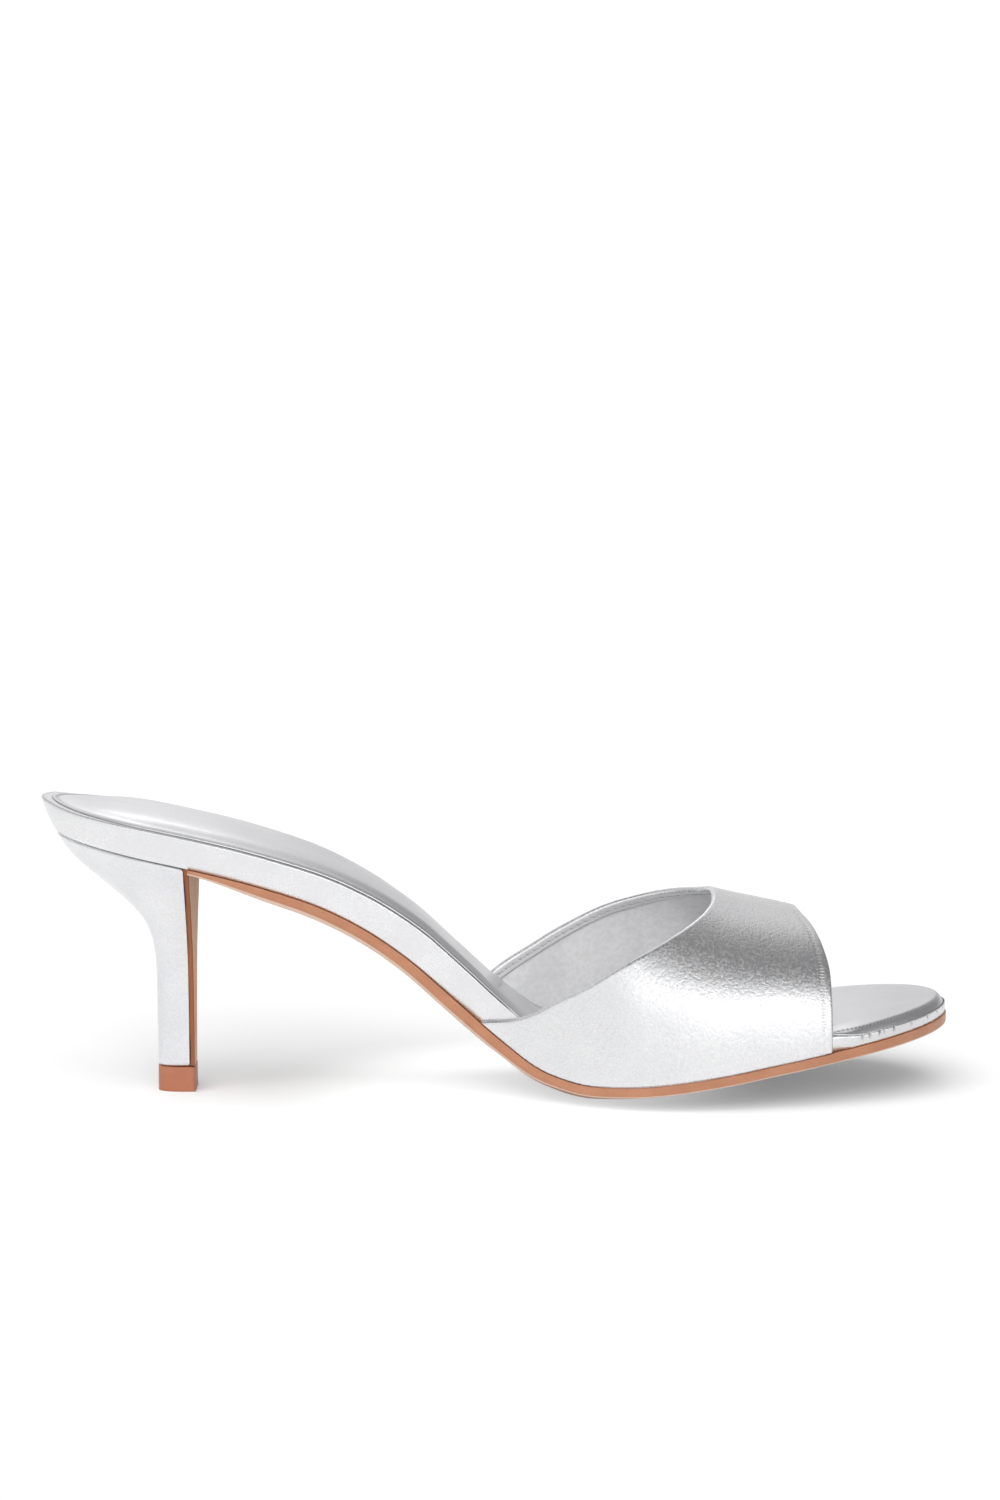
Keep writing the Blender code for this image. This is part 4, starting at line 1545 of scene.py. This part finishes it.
def make_top_piece():
    """Three quarters of the circle go round the back, and the rest along the front."""
    bm = bmesh.new()
    ahead = GAP + COVER_THICK
    bmesh.ops.create_circle(bm, cap_ends=True, segments=96, radius=1.0)
    for v in bm.verts:
        turn = (math.atan2(v.co.y, v.co.x) / (2 * math.pi)) % 1.0
        if turn < BACK_SHARE:
            x, y = tip_point(turn / BACK_SHARE, TIP_DEPTH + ahead)
        else:
            share = (turn - BACK_SHARE) / (1 - BACK_SHARE)
            y = mixed(tip_point(1.0, TIP_DEPTH)[1], tip_point(0.0, TIP_DEPTH)[1], share)
            x = breast_x(y)
        v.co = (x + ahead, y, 0.0)
    made = bmesh.ops.extrude_face_region(bm, geom=list(bm.faces))
    top = [v for v in made["geom"] if isinstance(v, bmesh.types.BMVert)]
    bmesh.ops.translate(bm, verts=top, vec=(0.0, 0.0, TOP_PIECE_HEIGHT))
    bmesh.ops.recalc_face_normals(bm, faces=bm.faces)
    upright = [e for e in bm.edges if rise_of(e) > MM]
    bmesh.ops.subdivide_edges(bm, edges=upright, cuts=6, use_grid_fill=False)
    for v in bm.verts:
        low = 1 - ease(0.0, 2.2 * MM, v.co.z)
        v.co.x += FLARE * low * ease(-1.0 * MM, 1.0 * MM, v.co.x - breast_x(v.co.y))
    rims = [e for e in bm.edges if rise_of(e) < RIM_LEVEL and e.calc_face_angle(0.0) > 0.8
            and (e.verts[0].co.z < RIM_LEVEL or e.verts[0].co.z > TOP_PIECE_HEIGHT - RIM_LEVEL)]
    round_edges(bm, rims, 0.22 * MM)
    show_piece("heel_tip", bm, terracotta, "top_piece")


make_top_piece()

# %% [markdown]
# ## Floor, light and camera
# The shoe stands on a plain pale floor in a white room. What a silver shoe looks like is what it
# mirrors, so the room is given by direction: a white floor in front, a bright band above the
# camera, a darker ceiling overhead, which draws the dark band across the vamp, and a light wall
# behind. One softbox makes the highlight on the seat. A broad sun and a low fill from the front,
# which the silver doesn't mirror, give the soft shadow, because they are equally strong all over
# the floor. The floor glows like a light table, and round the ball it has a pool of painted light
# that only the camera sees, which lightens the shadow there. The room lights rough surfaces less
# than it shows in the silver.

# %% Floor
FLOOR_REACH = 30.0
FLOOR_GLOW = 0.22
FLOOR_PAINTED_LIGHT = 0.35
PAINTED_LIGHT_SPOT = (0.005, 0.0, 0.0)


def make_floor():
    """A pool of painted light round the ball, seen only by the camera, lightens the shadow where the ball
    nearly touches the floor.
    """
    material, tree, shader = new_material("pale_floor")
    away = put(tree, "ShaderNodeVectorMath", operation="DISTANCE")
    wire(tree, object_place(tree), away.inputs[0])
    away.inputs[1].default_value = PAINTED_LIGHT_SPOT
    # Painted light: extra glow round the ball for camera rays only.
    painted_light = spread(tree, away.outputs["Value"], 0.025, 0.068, FLOOR_PAINTED_LIGHT, 0.0)
    painted_light_seen = times(tree, painted_light, put(tree, "ShaderNodeLightPath").outputs["Is Camera Ray"])
    set_inputs(tree, shader, Base_Color=(0.80, 0.80, 0.80), Roughness=0.9, Specular_IOR_Level=0.0,
               Emission_Color=(1.0, 1.0, 1.0), Emission_Strength=plus(tree, painted_light_seen, FLOOR_GLOW))
    bm = bmesh.new()
    bmesh.ops.create_circle(bm, cap_ends=True, segments=64, radius=FLOOR_REACH)
    add_object("floor", mesh_of("floor", bm, material))


make_floor()

# %% Room
HORIZON = 1.04
FRONT_WALL = 0.98
TOP_WALL = 0.86
WHITE_BAND = 2.25
BACK_WALL = 0.75
LEFT_WALL = 0.68
CEILING = 0.27
ROOM_SHARE = 0.4


def make_room():
    """The room's light by direction. over is the angle from the front horizon over the top."""
    world = bpy.data.worlds.new("white_room")
    bpy.context.scene.world = world
    world.use_nodes = True
    tree = world.node_tree
    split = put(tree, "ShaderNodeSeparateXYZ")
    wire(tree, put(tree, "ShaderNodeTexCoord").outputs["Generated"], split.inputs[0])
    side, away, up = split.outputs
    over = maths(tree, "ARCTAN2", up, times(tree, away, -1.0))

    def ramp(value, low, high, start=0.0, end=1.0):
        return spread(tree, value, low, high, start, end)

    def turned(angle, low, high, start=0.0, end=1.0):
        return ramp(angle, math.radians(low), math.radians(high), start, end)

    def both(first, second):
        return times(tree, first, second)

    def towards(now, goal, share):
        return plus(tree, now, both(share, minus(tree, goal, now)))

    wall = turned(over, 80, 100, FRONT_WALL, TOP_WALL)
    wall = towards(wall, BACK_WALL, both(turned(over, 138, 158), ramp(away, 0.0, 0.3)))
    band = both(turned(over, 12, 24), turned(over, 35, 46, 1.0, 0.0))
    wide = both(ramp(side, -0.06, 0.10, 0.25, 1.0), ramp(side, 0.7, 0.95, 1.0, 0.0))
    wall = towards(wall, WHITE_BAND, both(band, wide))
    ceiling_end = minus(tree, over, ramp(side, 0.20, 0.40, 0.0, math.radians(30)))
    dark = both(turned(over, 43, 56), turned(ceiling_end, 82, 114, 1.0, 0.0))
    wall = towards(wall, CEILING, both(dark, ramp(side, -0.85, -0.5)))
    on_right = both(ramp(side, 0.22, 0.60), ramp(up, 0.08, 0.24))
    wall = towards(wall, CEILING, both(on_right, ramp(away, -0.5, 0.1)))
    on_left = both(ramp(side, -0.8, -0.3, 1.0, 0.0), ramp(over, 0.1, 0.8, 0.4, 1.0))
    wall = towards(wall, LEFT_WALL, on_left)
    wall = towards(wall, HORIZON, ramp(up, 0.02, 0.09, 1.0, 0.0))
    ray = put(tree, "ShaderNodeLightPath").outputs
    wall = towards(wall, HORIZON, ray["Is Camera Ray"])
    wall = both(wall, ramp(ray["Is Diffuse Ray"], 0.0, 1.0, 1.0, ROOM_SHARE))
    set_inputs(tree, tree.nodes["Background"], Strength=wall, Color=(1.0, 1.0, 1.0))


def facing(direction):
    """The turn that points a lamp or a camera that way."""
    return Vector(direction).to_track_quat("-Z", "Y").to_euler()


def softbox(name, place, aim, width, height, glow):
    """An area light whose face is that bright."""
    light = bpy.data.lights.new(name, "AREA")
    light.shape = "RECTANGLE"
    light.size = width
    light.size_y = height
    light.energy = glow * math.pi * width * height
    lamp = add_object(name, light)
    lamp.location = place
    lamp.rotation_euler = facing(Vector(aim) - Vector(place))
    lamp.visible_camera = False


def soft_sun(name, direction, strength, broad):
    light = bpy.data.lights.new(name, "SUN")
    light.energy = strength
    light.angle = math.radians(broad)
    lamp = add_object(name, light)
    lamp.rotation_euler = facing(direction)
    lamp.visible_glossy = False


make_room()
softbox("seat_softbox", (-0.04, 0.88, 0.64), aim=(-0.07, 0.0, 0.07), width=0.22, height=0.54, glow=0.92)
soft_sun("shadow_sun", (0.22, 0.50, -1.0), strength=2.30, broad=70.0)
soft_sun("front_fill", (0.15, 1.00, -0.45), strength=1.00, broad=40.0)

# %% Camera
CAMERA_AWAY = 1.100
CAMERA_HIGH = 0.225
CAMERA_AZIMUTH = math.radians(-2.5)
CAMERA_DOWN = math.radians(7.17)
CAMERA_ASIDE = 0.00093
SENSOR = 36.0
PHOTO_FOCUS = 4354 / 1500


def make_camera():
    lens = bpy.data.cameras.new("photo_camera")
    lens.sensor_fit = "VERTICAL"
    lens.sensor_height = SENSOR
    lens.lens = PHOTO_FOCUS * SENSOR
    camera = add_object("photo_camera", lens)
    side = math.sin(CAMERA_AZIMUTH)
    away = math.cos(CAMERA_AZIMUTH)
    camera.location = (STAND.x + CAMERA_ASIDE + CAMERA_AWAY * side, STAND.y - CAMERA_AWAY * away,
                       CAMERA_HIGH)
    level = math.cos(CAMERA_DOWN)
    camera.rotation_euler = facing((-side * level, away * level, -math.sin(CAMERA_DOWN)))
    bpy.context.scene.camera = camera


make_camera()
bpy.context.scene.view_settings.view_transform = "Standard"
